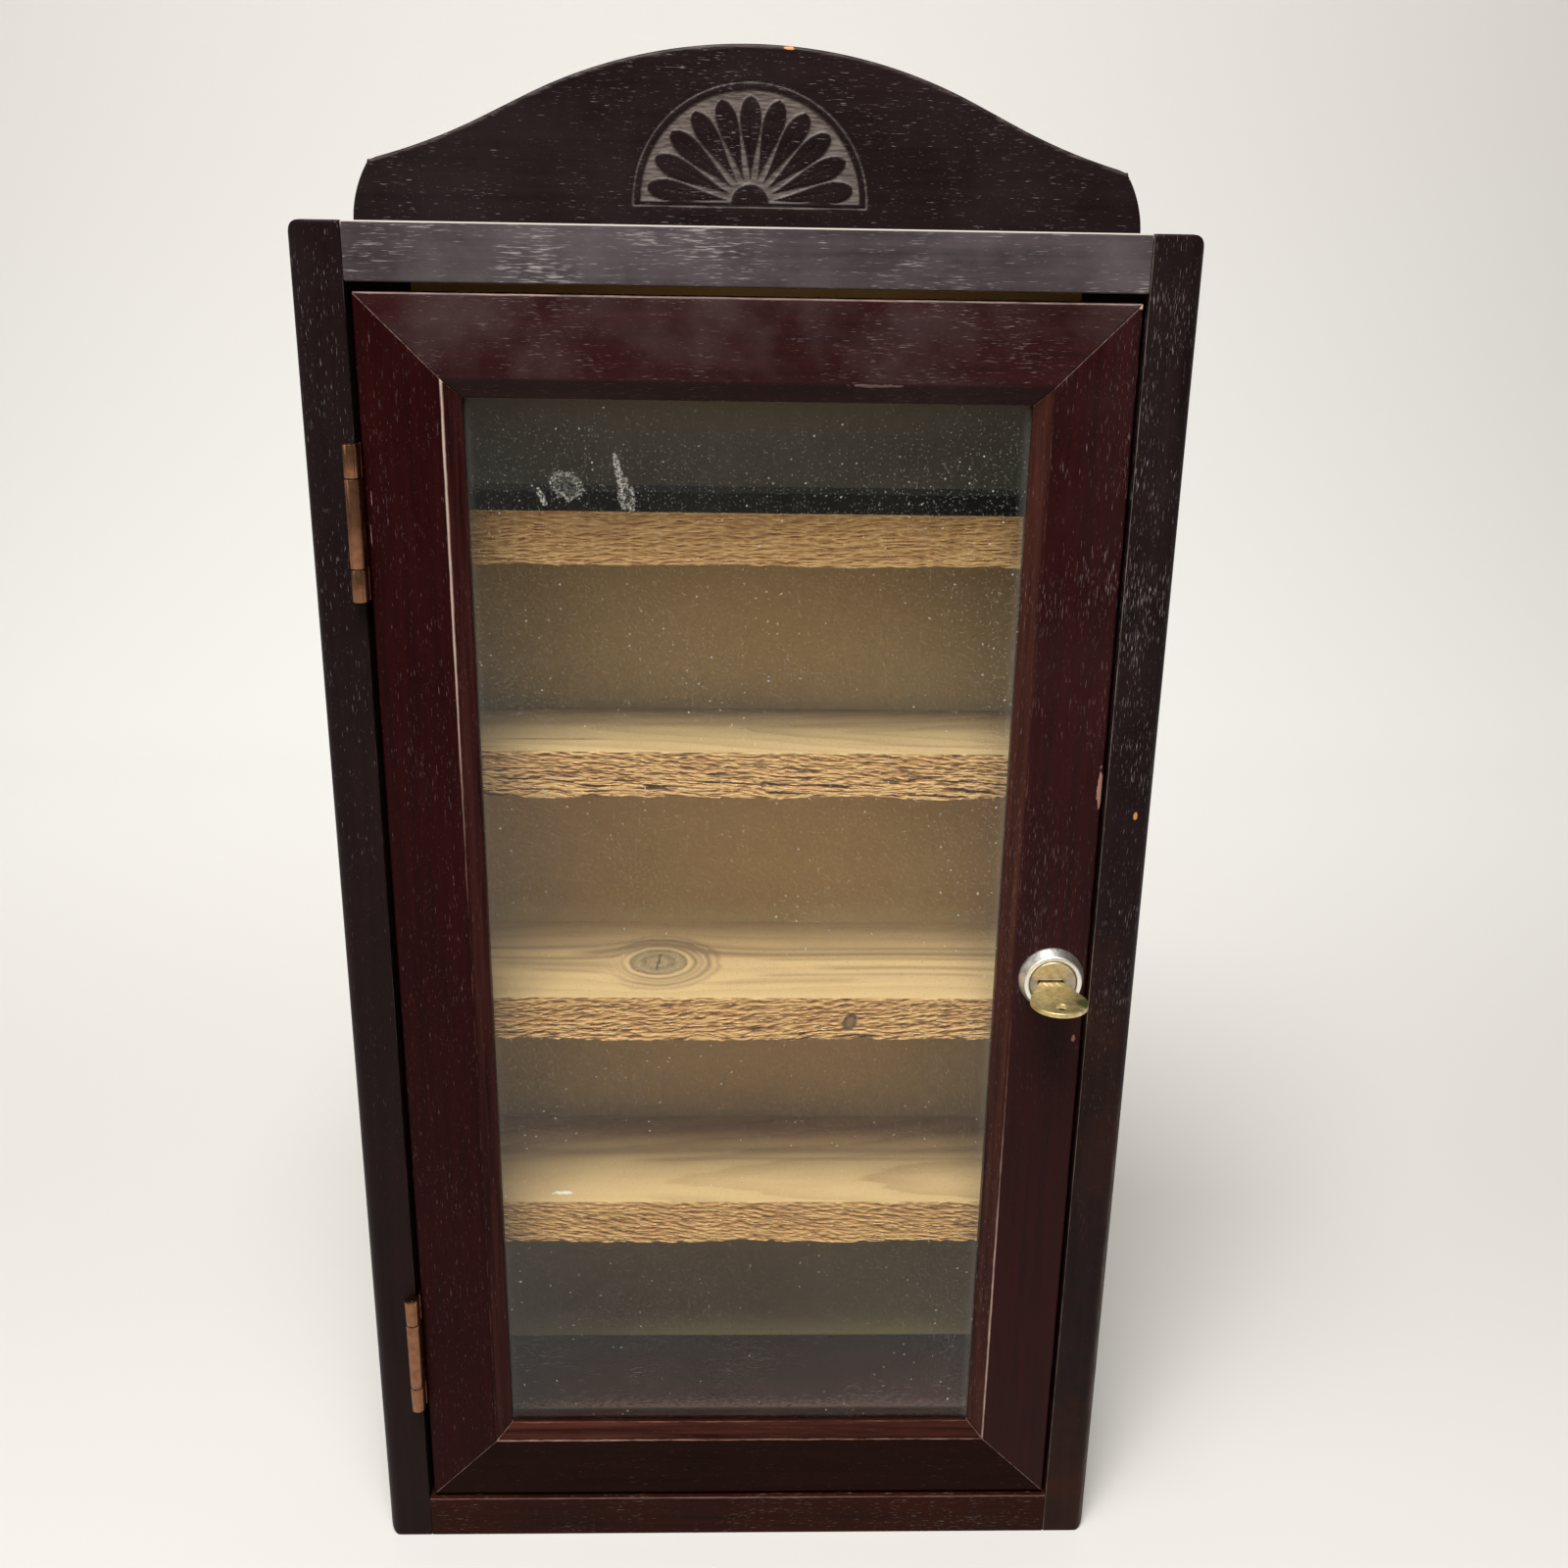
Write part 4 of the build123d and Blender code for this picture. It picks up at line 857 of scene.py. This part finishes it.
def clearGlass():
    # Old float glass: clear and smooth, with a film of dust that thickens towards the frame, many specks,
    # and what tape left behind. Lamps shine through it unbent. A kind of speck has the edge of its cells in
    # millimetres, its share of them, size and strength. A tape mark has its middle, half sizes in
    # millimetres, lean, and the level where its hollow middle starts.
    look = dict(tint="#fafcf9", shade="#f6f9f5", ior=1.3, dust="#d8d5cd", film=0.014, edgeFilm=0.04,
                edgeWidth=5 * mm,
                kinds=((1.3, 0.9, 0.3, 0.24), (4.5, 0.6, 0.11, 0.9), (14.0, 0.5, 0.045, 1.0)),
                marks=(((-0.0691, -0.0522, 0.4930), (8.6, 8, 7), 20, 0.22),
                       ((-0.0487, -0.0522, 0.4965), (1.9, 8, 12), -12, 0.8),
                       ((-0.0462, -0.0522, 0.4895), (4.6, 8, 8), -14, 0.3),
                       ((-0.0785, -0.0522, 0.4888), (1.5, 8, 5), -24, 0.9)))
    material, tree = startMaterial("dustyFloatGlass")
    place = addNode(tree, "TexCoord", out="Object")
    glass = addNode(tree, "BsdfPrincipled", {"Base Color": look["tint"], "Roughness": 0.0, "IOR": look["ior"],
                                             "Transmission Weight": 1.0})
    through = addNode(tree, "BsdfTransparent", {"Color": look["shade"]})
    unbent = anyRay(tree, "Is Shadow Ray", "Is Diffuse Ray")
    pane = addNode(tree, "MixShader", {0: unbent, 1: glass, 2: through})

    beadLow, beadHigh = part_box("glazing_bead_left")
    halfX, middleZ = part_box("glazing_bead_right")[0].x, (beadLow.z + beadHigh.z) / 2
    centred = addNode(tree, "Mapping", {"Vector": place, "Location": (0, 0, -middleZ)})
    axes = addNode(tree, "SeparateXYZ", {0: centred})
    right = addNode(tree, "MapRange", {"Value": axes, "From Min": 0.06, "From Max": 0.13, "To Max": 0.55})
    cover = cloud(tree, place, 9.0, 0.35, 0.8, look["film"])
    for axis, half in (("X", halfX), ("Z", (beadHigh.z - beadLow.z) / 2)):
        off = addNode(tree, "Math", {0: axes.node.outputs[axis]}, operation="ABSOLUTE")
        edge = addNode(tree, "MapRange", {"Value": off, "From Min": half - look["edgeWidth"],
                                          "From Max": half, "To Max": look["edgeFilm"]},
                       interpolation_type="SMOOTHSTEP")
        cover = addNode(tree, "Math", {0: cover, 1: edge}, operation="ADD")
    patches = addNode(tree, "Math", {0: cloud(tree, place, 16.0, 0.05, 0.6, 0.9), 1: right}, operation="ADD")
    for cell, share, size, most in look["kinds"]:
        specks = flecks(tree, place, cell, share, size)
        for part in (most, patches):
            specks = addNode(tree, "Math", {0: specks, 1: part}, operation="MULTIPLY")
        cover = addNode(tree, "Math", {0: cover, 1: specks}, operation="MAXIMUM")
    ragged = addNode(tree, "TexNoise", {"Vector": place, "Scale": 260.0, "Detail": 6.0, "Roughness": 0.75})
    ragged = addNode(tree, "Math", {0: ragged, 1: 1.5}, operation="MULTIPLY")
    crumbs = cloud(tree, place, 1100.0, 0.46, 0.62)
    for middle, size, lean, hollow in look["marks"]:
        level = spot(tree, middle, size, (0, lean, 0))
        level = addNode(tree, "Math", {0: level, 1: ragged}, operation="SUBTRACT")
        tape = addNode(tree, "MapRange", {"Value": level, "From Min": -0.55, "From Max": -0.4})
        core = addNode(tree, "MapRange", {"Value": level, "From Min": hollow - 0.65,
                                          "From Max": hollow - 0.45, "To Min": 0.5, "To Max": 0.1})
        for share in (core, crumbs):
            tape = addNode(tree, "Math", {0: tape, 1: share}, operation="MULTIPLY")
        cover = addNode(tree, "Math", {0: cover, 1: tape}, operation="MAXIMUM")
    dust = addNode(tree, "BsdfDiffuse", {"Color": look["dust"]})
    shader = addNode(tree, "MixShader", {0: cover, 1: pane, 2: dust})
    addNode(tree, "OutputMaterial", {"Surface": shader})
    return material


def metal(name, look):
    # Plated or bare metal: fine lines, by their scale on each axis, and tarnish in clouds. A spot has its
    # middle, half sizes in millimetres, turn if it has one, and colour.
    material, tree = startMaterial(name)
    place = addNode(tree, "TexCoord", out="Object")
    lines = grainNoise(tree, place, look["lines"], 3.0)
    clouds = addNode(tree, "TexNoise", {"Vector": place, "Scale": look["clouds"], "Detail": 5.0,
                                        "Roughness": 0.65})
    tarnish = addNode(tree, "MapRange", {"Value": clouds, "From Min": 0.42, "From Max": 0.7,
                                         "To Max": look["tarnishShare"]})
    colour = coats(tree, look["colour"], (tarnish, look["tarnish"]))
    for *where, tint in look.get("spots", ()):
        share = addNode(tree, "Math", {0: spot(tree, *where), 1: clouds}, operation="MULTIPLY")
        share = addNode(tree, "MapRange", {"Value": share, "From Min": 0.06, "From Max": 0.24,
                                           "To Max": 0.85})
        colour = coats(tree, colour, (share, tint))
    rough = addNode(tree, "MapRange", {"Value": lines, "From Min": 0.3, "From Max": 0.7,
                                       "To Min": look["roughness"], "To Max": look["roughness"] + 0.15})
    bump = addNode(tree, "Bump", {"Height": lines, "Strength": 0.25, "Distance": 0.03 * mm})
    return closeMaterial(material, {"Base Color": colour, "Metallic": 1.0, "Roughness": rough,
                                    "Normal": bump})


fibreboard, paneGlass = tanPanel(), clearGlass()
copperPlate = metal("copperPlatedSteel", dict(
    colour="#8f644a", tarnish="#4e3223", tarnishShare=0.55, clouds=220.0, roughness=0.2,
    lines=(2500.0, 2500.0, 60.0)))
satinNickel = metal("satinNickelPlate", dict(
    colour="#f6f3ea", tarnish="#d0c7b0", tarnishShare=0.3, clouds=260.0, roughness=0.3,
    lines=(900.0, 900.0, 900.0)))
plugNickel = metal("wornNickelPlug", dict(
    colour="#b5a893", tarnish="#82745f", tarnishShare=0.7, clouds=420.0, roughness=0.42,
    lines=(900.0, 900.0, 900.0)))
keyBrass = metal("dullKeyBrass", dict(
    colour="#dfcb90", tarnish="#9a8852", tarnishShare=0.7, clouds=420.0, roughness=0.36,
    lines=(400.0, 3000.0, 400.0), spots=[
        ((0.1378, -0.0862, 0.2925), (4.2, 5, 3), "#6d8444"),
        # the green spot is paint; the two pale spots at the bow's end and the three slanted ones at the neck
        # are painted highlights
        ((0.1362, -0.0912, 0.2925), (1.6, 1.3, 2), "#f6edcf"),
        ((0.1352, -0.0945, 0.2915), (1.6, 1.6, 2), "#f6edcf"),
        *(((x, -0.0690, 0.2925), (0.9, 3, 1), (0, 0, 15), "#fff7dc") for x in (0.1253, 0.1274, 0.1305))]))
brightSteel = metal("brightZincSteel", dict(
    colour="#b9bbbc", tarnish="#7d7b76", tarnishShare=0.4, clouds=300.0, roughness=0.28,
    lines=(1500.0, 1500.0, 1500.0)))


def ringBody(rings, centre):
    # Rings of (half width, half height, squareness, middle, depth) in millimetres, joined one to the next
    # round the Y axis. A ring is a circle at squareness 1, and closer to a rectangle as it falls.
    segments = 96
    angle = np.linspace(0, 2 * np.pi, segments + 1)
    halfX, halfZ, squareness, middle, depth = np.array(rings, float).T[:, :, None]
    x, z = (half * mm * np.sign(way) * np.abs(way) ** squareness
            for half, way in ((halfX, np.cos(angle)), (halfZ, np.sin(angle))))
    points = np.stack([centre[0] + middle * mm + x, centre[1] + depth * mm + 0 * x, centre[2] + z], -1)
    return points.reshape(-1, 3), gridFaces(len(rings), segments + 1)


def lock():
    # the housing and the plug, each a profile of rings from its front face to its end and back; the plug's
    # keyway and its tenon for the cam are rings too
    look = dict(bezel=13.7, bezelFront=11.95, bezelHeight=5.8, seat=10.13, seatEdge=0.35, seatDepth=3.1,
                body=9.4, bodyEase=0.5, flats=8.0, bodyEnd=29.8, bore=7.6, plugHead=10.05, headDepth=2.8,
                plug=7.52, plugFace=0.2, keywayHalf=(5.3, 1.5), keyway=-1.0, keywayDepth=23.0, tenon=3.45)
    housingLow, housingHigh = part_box("lock_housing")
    centre = np.array([(housingLow.x + housingHigh.x) / 2, housingLow.y, (housingLow.z + housingHigh.z) / 2])
    seat, seatEdge, seatDepth = look["seat"], look["seatEdge"], look["seatDepth"]
    bezel, bezelFront, bezelHeight = look["bezel"], look["bezelFront"], look["bezelHeight"]
    body, bodyEase, bodyEnd = look["body"], look["bodyEase"], look["bodyEnd"]
    circles = [(seat, seatEdge), (seat + seatEdge, 0), (bezelFront - 0.45, 0), (bezelFront - 0.1, 0.12),
               (bezelFront + 0.15, 0.5), (bezel - 0.25, bezelHeight - 1.0), (bezel, bezelHeight - 0.5),
               (bezel, bezelHeight), (body, bezelHeight), (body, bodyEnd - bodyEase),
               (body - bodyEase, bodyEnd), (look["bore"], bodyEnd), (look["bore"], seatDepth),
               (seat, seatDepth), (seat, seatEdge)]
    points, quads = ringBody([(radius, radius, 1, 0, depth) for radius, depth in circles], centre)
    behind, flats = points[:, 1] > centre[1] + (bezelHeight + 0.1) * mm, look["flats"] * mm
    points[behind, 0] = centre[0] + np.clip(points[behind, 0] - centre[0], -flats, flats)
    shapedPiece("lockHousing", points, [quads], [satinNickel], "door", ["lock_housing"])

    (slotX, slotZ), keyway, face = look["keywayHalf"], look["keyway"], look["plugFace"]
    head, plug, tenon = look["plugHead"], look["plug"], look["tenon"]
    camFront, camBack = ((corner.y - centre[1]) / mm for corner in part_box("lock_cam"))
    back = camFront - 0.1
    rings = [(0, 0, 0.2, keyway, look["keywayDepth"]), (slotX, slotZ, 0.2, keyway, look["keywayDepth"]),
             (slotX, slotZ, 0.2, keyway, face + 0.3), (slotX + 0.12, slotZ + 0.12, 0.2, keyway, face),
             (slotX + 0.45, slotZ + 0.4, 0.22, keyway, face - 0.14),
             (slotX + 0.8, slotZ + 0.75, 0.25, keyway, face + 0.02),
             (slotX + 1.1, slotZ + 2.2, 0.5, keyway, face + 0.04), (8.4, 7.4, 0.9, keyway * 0.4, face + 0.04),
             (head - 1.0, head - 1.0, 1, 0, face + 0.04), (head - 0.75, head - 0.75, 1, 0, face),
             (head - 0.1, head - 0.1, 1, 0, face + 0.6), (head, head, 1, 0, face + 0.8),
             (head, head, 1, 0, face + look["headDepth"]), (plug, plug, 1, 0, face + look["headDepth"]),
             (plug, plug, 1, 0, back), (tenon, tenon, 0.12, 0, back), (tenon, tenon, 0.12, 0, camBack),
             (0, 0, 0.12, 0, camBack)]
    points, quads = ringBody(rings, centre)
    shapedPiece("lockPlug", points, [quads], [plugNickel], "lock_barrel", ["lock_plug"])


lock()
print("lock made")


def keyBlank():
    # The flat outline with its rounded edges comes from a filled curve, laid level in the keyway. Its own
    # zero is where the bezel ends. The cuts are as deep as given on the left edge, and on the right as deep
    # as cutSum less that.
    look = dict(thick=2.0, edge=0.3, bow=11.7, bowOut=23.7, hole=2.5, neck=5.1, blade=4.5, bladeLength=21.0,
                bladeTip=1.5, cuts=(1.2, 0.7, 1.5, 1.0), cutSum=2.0, cutFirst=5.0, cutPitch=3.4,
                cutSlope=(1.4, 0.4), taper=3.0, bezelHeight=5.8, shoulder=-6.2, keyway=-1.0, bowPoints=72,
                holePoints=40, neckAt=(0.5, 0.82), holeAt=2.2)
    low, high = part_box("key")
    bow, blade, hole = look["bow"], look["blade"], look["hole"]
    bowY, bezelHeight, shoulder = -look["bowOut"], look["bezelHeight"], look["shoulder"]
    middle = sum(corner.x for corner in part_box("lock_plug")) / 2 + look["keyway"] * mm
    place = [middle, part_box("lock_housing")[0].y + bezelHeight * mm, (low.z + high.z) / 2]
    tip = look["bladeLength"] - bezelHeight
    joint = np.arctan2(*look["neckAt"])       # where the bow's circle meets the neck
    outline = [(bow * np.cos(a), bowY + bow * np.sin(a))
               for a in np.linspace(joint, -np.pi - joint, look["bowPoints"])]
    edges = {}
    for sign in (-1, 1):
        edge = [(sign * look["neck"], shoulder), (sign * blade, shoulder)]
        for i, depth in enumerate(look["cuts"]):
            cut = depth if sign < 0 else look["cutSum"] - depth
            y = -bezelHeight + look["cutFirst"] + look["cutPitch"] * i
            wide, narrow = look["cutSlope"]
            edge += [(sign * blade, y - wide), (sign * (blade - cut), y - narrow),
                     (sign * (blade - cut), y + narrow), (sign * blade, y + wide)]
        edges[sign] = edge + [(sign * blade, tip - look["taper"]), (sign * look["bladeTip"], tip)]
    outline += edges[-1] + edges[1][::-1]
    eye = [(hole * np.cos(a), bowY - look["holeAt"] * hole + hole * np.sin(a))
           for a in np.linspace(0, 2 * np.pi, look["holePoints"], endpoint=False)]
    curve = bpy.data.curves.new("keyOutline", "CURVE")
    curve.dimensions = "2D"
    curve.fill_mode = "BOTH"
    curve.extrude = (look["thick"] / 2 - look["edge"]) * mm
    curve.bevel_depth = look["edge"] * mm
    curve.bevel_resolution = 2
    curve.offset = -look["edge"] * mm
    for path in (outline, eye):
        spline = curve.splines.new("POLY")
        spline.points.add(len(path) - 1)
        places = np.array([(x * mm, y * mm, 0, 1) for x, y in path], np.float32)
        spline.points.foreach_set("co", places.ravel())
        spline.use_cyclic_u = True
    holder = addObject("keyOutline", curve)
    bpy.context.view_layer.update()
    mesh = bpy.data.meshes.new_from_object(holder.evaluated_get(bpy.context.evaluated_depsgraph_get()))
    bpy.data.objects.remove(holder)
    points = np.zeros(len(mesh.vertices) * 3, np.float32)
    mesh.vertices.foreach_get("co", points)
    points = points.reshape(-1, 3) + place
    mesh.vertices.foreach_set("co", points.astype(np.float32).ravel())
    mesh.materials.clear()
    finishedPiece("keyBlank", mesh, [keyBrass], "key", ["key"])


keyBlank()
print("key made")


def hinges():
    # Each knuckle is a short tube with eased ends, turned about the hinge's axis, with a groove where the
    # plate was rolled. The leaf is a thin plate, with a tongue to each knuckle.
    look = dict(radius=3.1 * mm, bore=1.45 * mm, ease=0.35 * mm, endKnuckle=12.6 * mm, split=0.15 * mm,
                leaf=0.9 * mm, leafDepth=14 * mm, leafFrom=0.1 * mm, tongue=1.0 * mm, arris=0.12 * mm,
                groove=0.22 * mm, grooveAt=0.9, grooveWidth=0.05, proud=0.15 * mm)
    radius, bore, split, arris, proud = (look[key] for key in ("radius", "bore", "split", "arris", "proud"))
    ease, eased = look["ease"], 0.3 * look["ease"]
    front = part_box("side_left")[0].y
    angle = np.linspace(0, 2 * np.pi, 65)
    for name in ("upper", "lower"):
        caseLow, caseHigh = np.array(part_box(f"hinge_{name}_case_leaf"))
        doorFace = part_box(f"hinge_{name}_door_leaf")[1].x
        axis = caseLow[:2] + radius
        first, last = caseLow[2] + look["endKnuckle"], caseHigh[2] - look["endKnuckle"]
        # body, outer face, heights of the knuckles, and the side that their groove is on
        leaves = (("case", caseHigh[0], [(caseLow[2], first - split), (last + split, caseHigh[2])], 0),
                  ("door", doorFace, [(first + split, last - split)], np.pi))
        for body, outer, spans, toward in leaves:
            inner = outer - look["leaf"]
            # the screws' heads stand a hair proud of the open face
            outer, inner = (outer - proud, inner) if body == "case" else (outer, inner + proud)
            plates = [([inner, front + look["leafFrom"], caseLow[2]],
                       [outer, front + look["leafDepth"], caseHigh[2]])]
            plates += [([inner, axis[1], bottom], [outer, front + look["tongue"], top])
                       for bottom, top in spans]
            allPoints, allFaces, count = [], [], 0
            for low, high in np.array(plates):
                stations = [easedStations(low[a], high[a], arris, arris, 12 * mm) for a in range(3)]
                points, quads = cellBlock(stations)
                allPoints.append(roundArrises(points, low, high, arris))
                allFaces.append(quads + count)
                count += len(points)
            turned = np.abs((angle - toward + np.pi) % (2 * np.pi) - np.pi) - look["grooveAt"]
            groove = look["groove"] * np.exp(-(turned / look["grooveWidth"]) ** 2)
            for bottom, top in spans:
                profile = [(bore, bottom), (radius - ease, bottom), (radius - eased, bottom + eased),
                           (radius, bottom + ease), (radius, top - ease), (radius - eased, top - eased),
                           (radius - ease, top), (bore, top), (bore, bottom)]
                wall, z = np.array(profile).T[:, :, None]
                wall = wall - groove * (wall > 2 * bore)
                x, y = axis[0] + wall * np.cos(angle), axis[1] + wall * np.sin(angle)
                allPoints.append(np.stack([x, y, z + 0 * wall], -1).reshape(-1, 3))
                allFaces.append(gridFaces(len(profile), len(angle)) + count)
                count += len(profile) * len(angle)
            shapedPiece(f"hinge_{name}_{body}_plate", np.concatenate(allPoints), allFaces, [copperPlate],
                        body, [f"hinge_{name}_{body}_leaf"])


hinges()
print("hinges made")


def softCopies():
    # the smaller pieces keep their CAD shape: a copy is merged and shaded smooth, with its creases kept
    looks = [(["back_panel"], fibreboard, "panel_board"),
             ([f"shelf_cleat_{hand}_{i}" for hand in ("left", "right") for i in (1, 2, 3, 4)], cleatPine,
              "cleat_wood"),
             (["door_stop_lower", "door_stop_upper"], cleatPine, "cleat_wood"),
             (["glazing_bead_left", "glazing_bead_right"], doorLeft, "door_wood"),
             (["glazing_bead_top", "glazing_bead_bottom"], doorBottom, "door_wood"),
             (["lock_nut", "cam_screw", "lock_cam"], brightSteel, "bright_steel"),
             (["hinge_upper_pin", "hinge_lower_pin", "hinge_case_screws", "hinge_door_screws"], copperPlate,
              "copper_plate"),
             (["glass_pane"], paneGlass, "clear_glass")]
    bodies = {node: body for body, nodes in frame["record"]["behaviour"]["bodies"].items() for node in nodes}
    for nodes, material, slot in looks:
        for node in nodes:
            mesh = frame["nodes"][node].data.copy()
            mesh.materials.clear()
            finishedPiece(f"{node}_dressed", mesh, [material], bodies[node], [node], sharp=30)


softCopies()
# pieces that lie inside others only take a material
hidden = {cleatPine: ("corner_dowels", "mitre_splines"),
          brightSteel: ("panel_brads", "cleat_brads", "stop_brads", "bead_brads", "crest_screws")}
for material, nodes in hidden.items():
    for node in nodes:
        frame["nodes"][node].data.materials.clear()
        frame["nodes"][node].data.materials.append(material)
print("small pieces dressed")


def studio():
    # a floor that curves up into a backdrop: flat, a quarter round, then upright
    look = dict(floor="#c9c6c0", wall="#f7f5f0", bounced="#7b5f46", width=6.0, frontEdge=-3.5, bend=1.1,
                radius=0.9, height=4.0, sky=0.1, mirrored=0.25, background=0.75)
    arc = np.linspace(0, np.pi / 2, 24)
    y = np.concatenate([[look["frontEdge"]], look["bend"] + look["radius"] * np.sin(arc),
                        [look["bend"] + look["radius"]]])
    z = np.concatenate([[0], look["radius"] * (1 - np.cos(arc)), [look["height"]]])
    x = np.linspace(-look["width"] / 2, look["width"] / 2, 2)
    points = np.stack([np.tile(x, len(y)), np.repeat(y, 2), np.repeat(z, 2)], -1)
    mesh = bpy.data.meshes.new("studioFloor")
    mesh.from_pydata(points.tolist(), [], gridFaces(len(y), 2)[:, ::-1].tolist())
    mesh.polygons.foreach_set("use_smooth", np.ones(len(mesh.polygons), bool))
    # the camera sees pale paint all over, also in metal and through glass; light that bounces off the flat
    # part leaves a darker floor, and the wall stays pale
    material, tree = startMaterial("paintedStudio")
    depth = addNode(tree, "SeparateXYZ", {0: addNode(tree, "TexCoord", out="Object")}, out="Y")
    rise = addNode(tree, "MapRange", {"Value": depth, "From Min": 0.1, "From Max": 1.3},
                   interpolation_type="SMOOTHSTEP")
    seen = anyRay(tree, "Is Camera Ray", "Is Glossy Ray", "Is Transmission Ray")
    colour = coats(tree, look["bounced"], (seen, look["floor"]), (rise, look["wall"]))
    closeMaterial(material, {"Base Color": colour, "Roughness": 0.9, "Specular IOR Level": 0.1})
    mesh.materials.append(material)
    floor = addObject("studioFloor", mesh)

    lamps = {"overhead": dict(place=(-0.2, -1.02, 2.33), aim=(0, 0, 0.3), size=1.1, power=98),
             "window": dict(place=(-2.2, -1.2, 1.4), aim=(0, 0, 0.35), size=1.2, power=9)}
    for name, lamp in lamps.items():
        light = bpy.data.lights.new(name, "AREA")
        light.shape = "SQUARE"
        light.size = lamp["size"]
        light.energy = lamp["power"]
        holder = addObject(name, light)
        way = np.array(lamp["aim"]) - np.array(lamp["place"])
        tilt, heading = np.arccos(-way[2] / np.linalg.norm(way)), np.arctan2(way[1], way[0])
        holder.location = lamp["place"]
        holder.rotation_euler = [tilt, 0, heading - np.pi / 2]

    # the world is dim to light by, brighter in what shines, and pale to the camera and through the glass
    world = bpy.data.worlds.new("softRoom")
    world.use_nodes = True
    tree = world.node_tree
    tree.nodes.clear()
    strength = addNode(tree, "MapRange", {"Value": anyRay(tree, "Is Glossy Ray"), "To Min": look["sky"],
                                          "To Max": look["mirrored"]})
    direct = anyRay(tree, "Is Camera Ray", "Is Transmission Ray")
    strength = addNode(tree, "MapRange", {"Value": direct, "To Min": strength, "To Max": look["background"]})
    sky = addNode(tree, "Background", {"Color": "#f8f6f2", "Strength": strength})
    addNode(tree, "OutputWorld", {"Surface": sky})
    bpy.context.scene.world = world


studio()
print("studio lit")
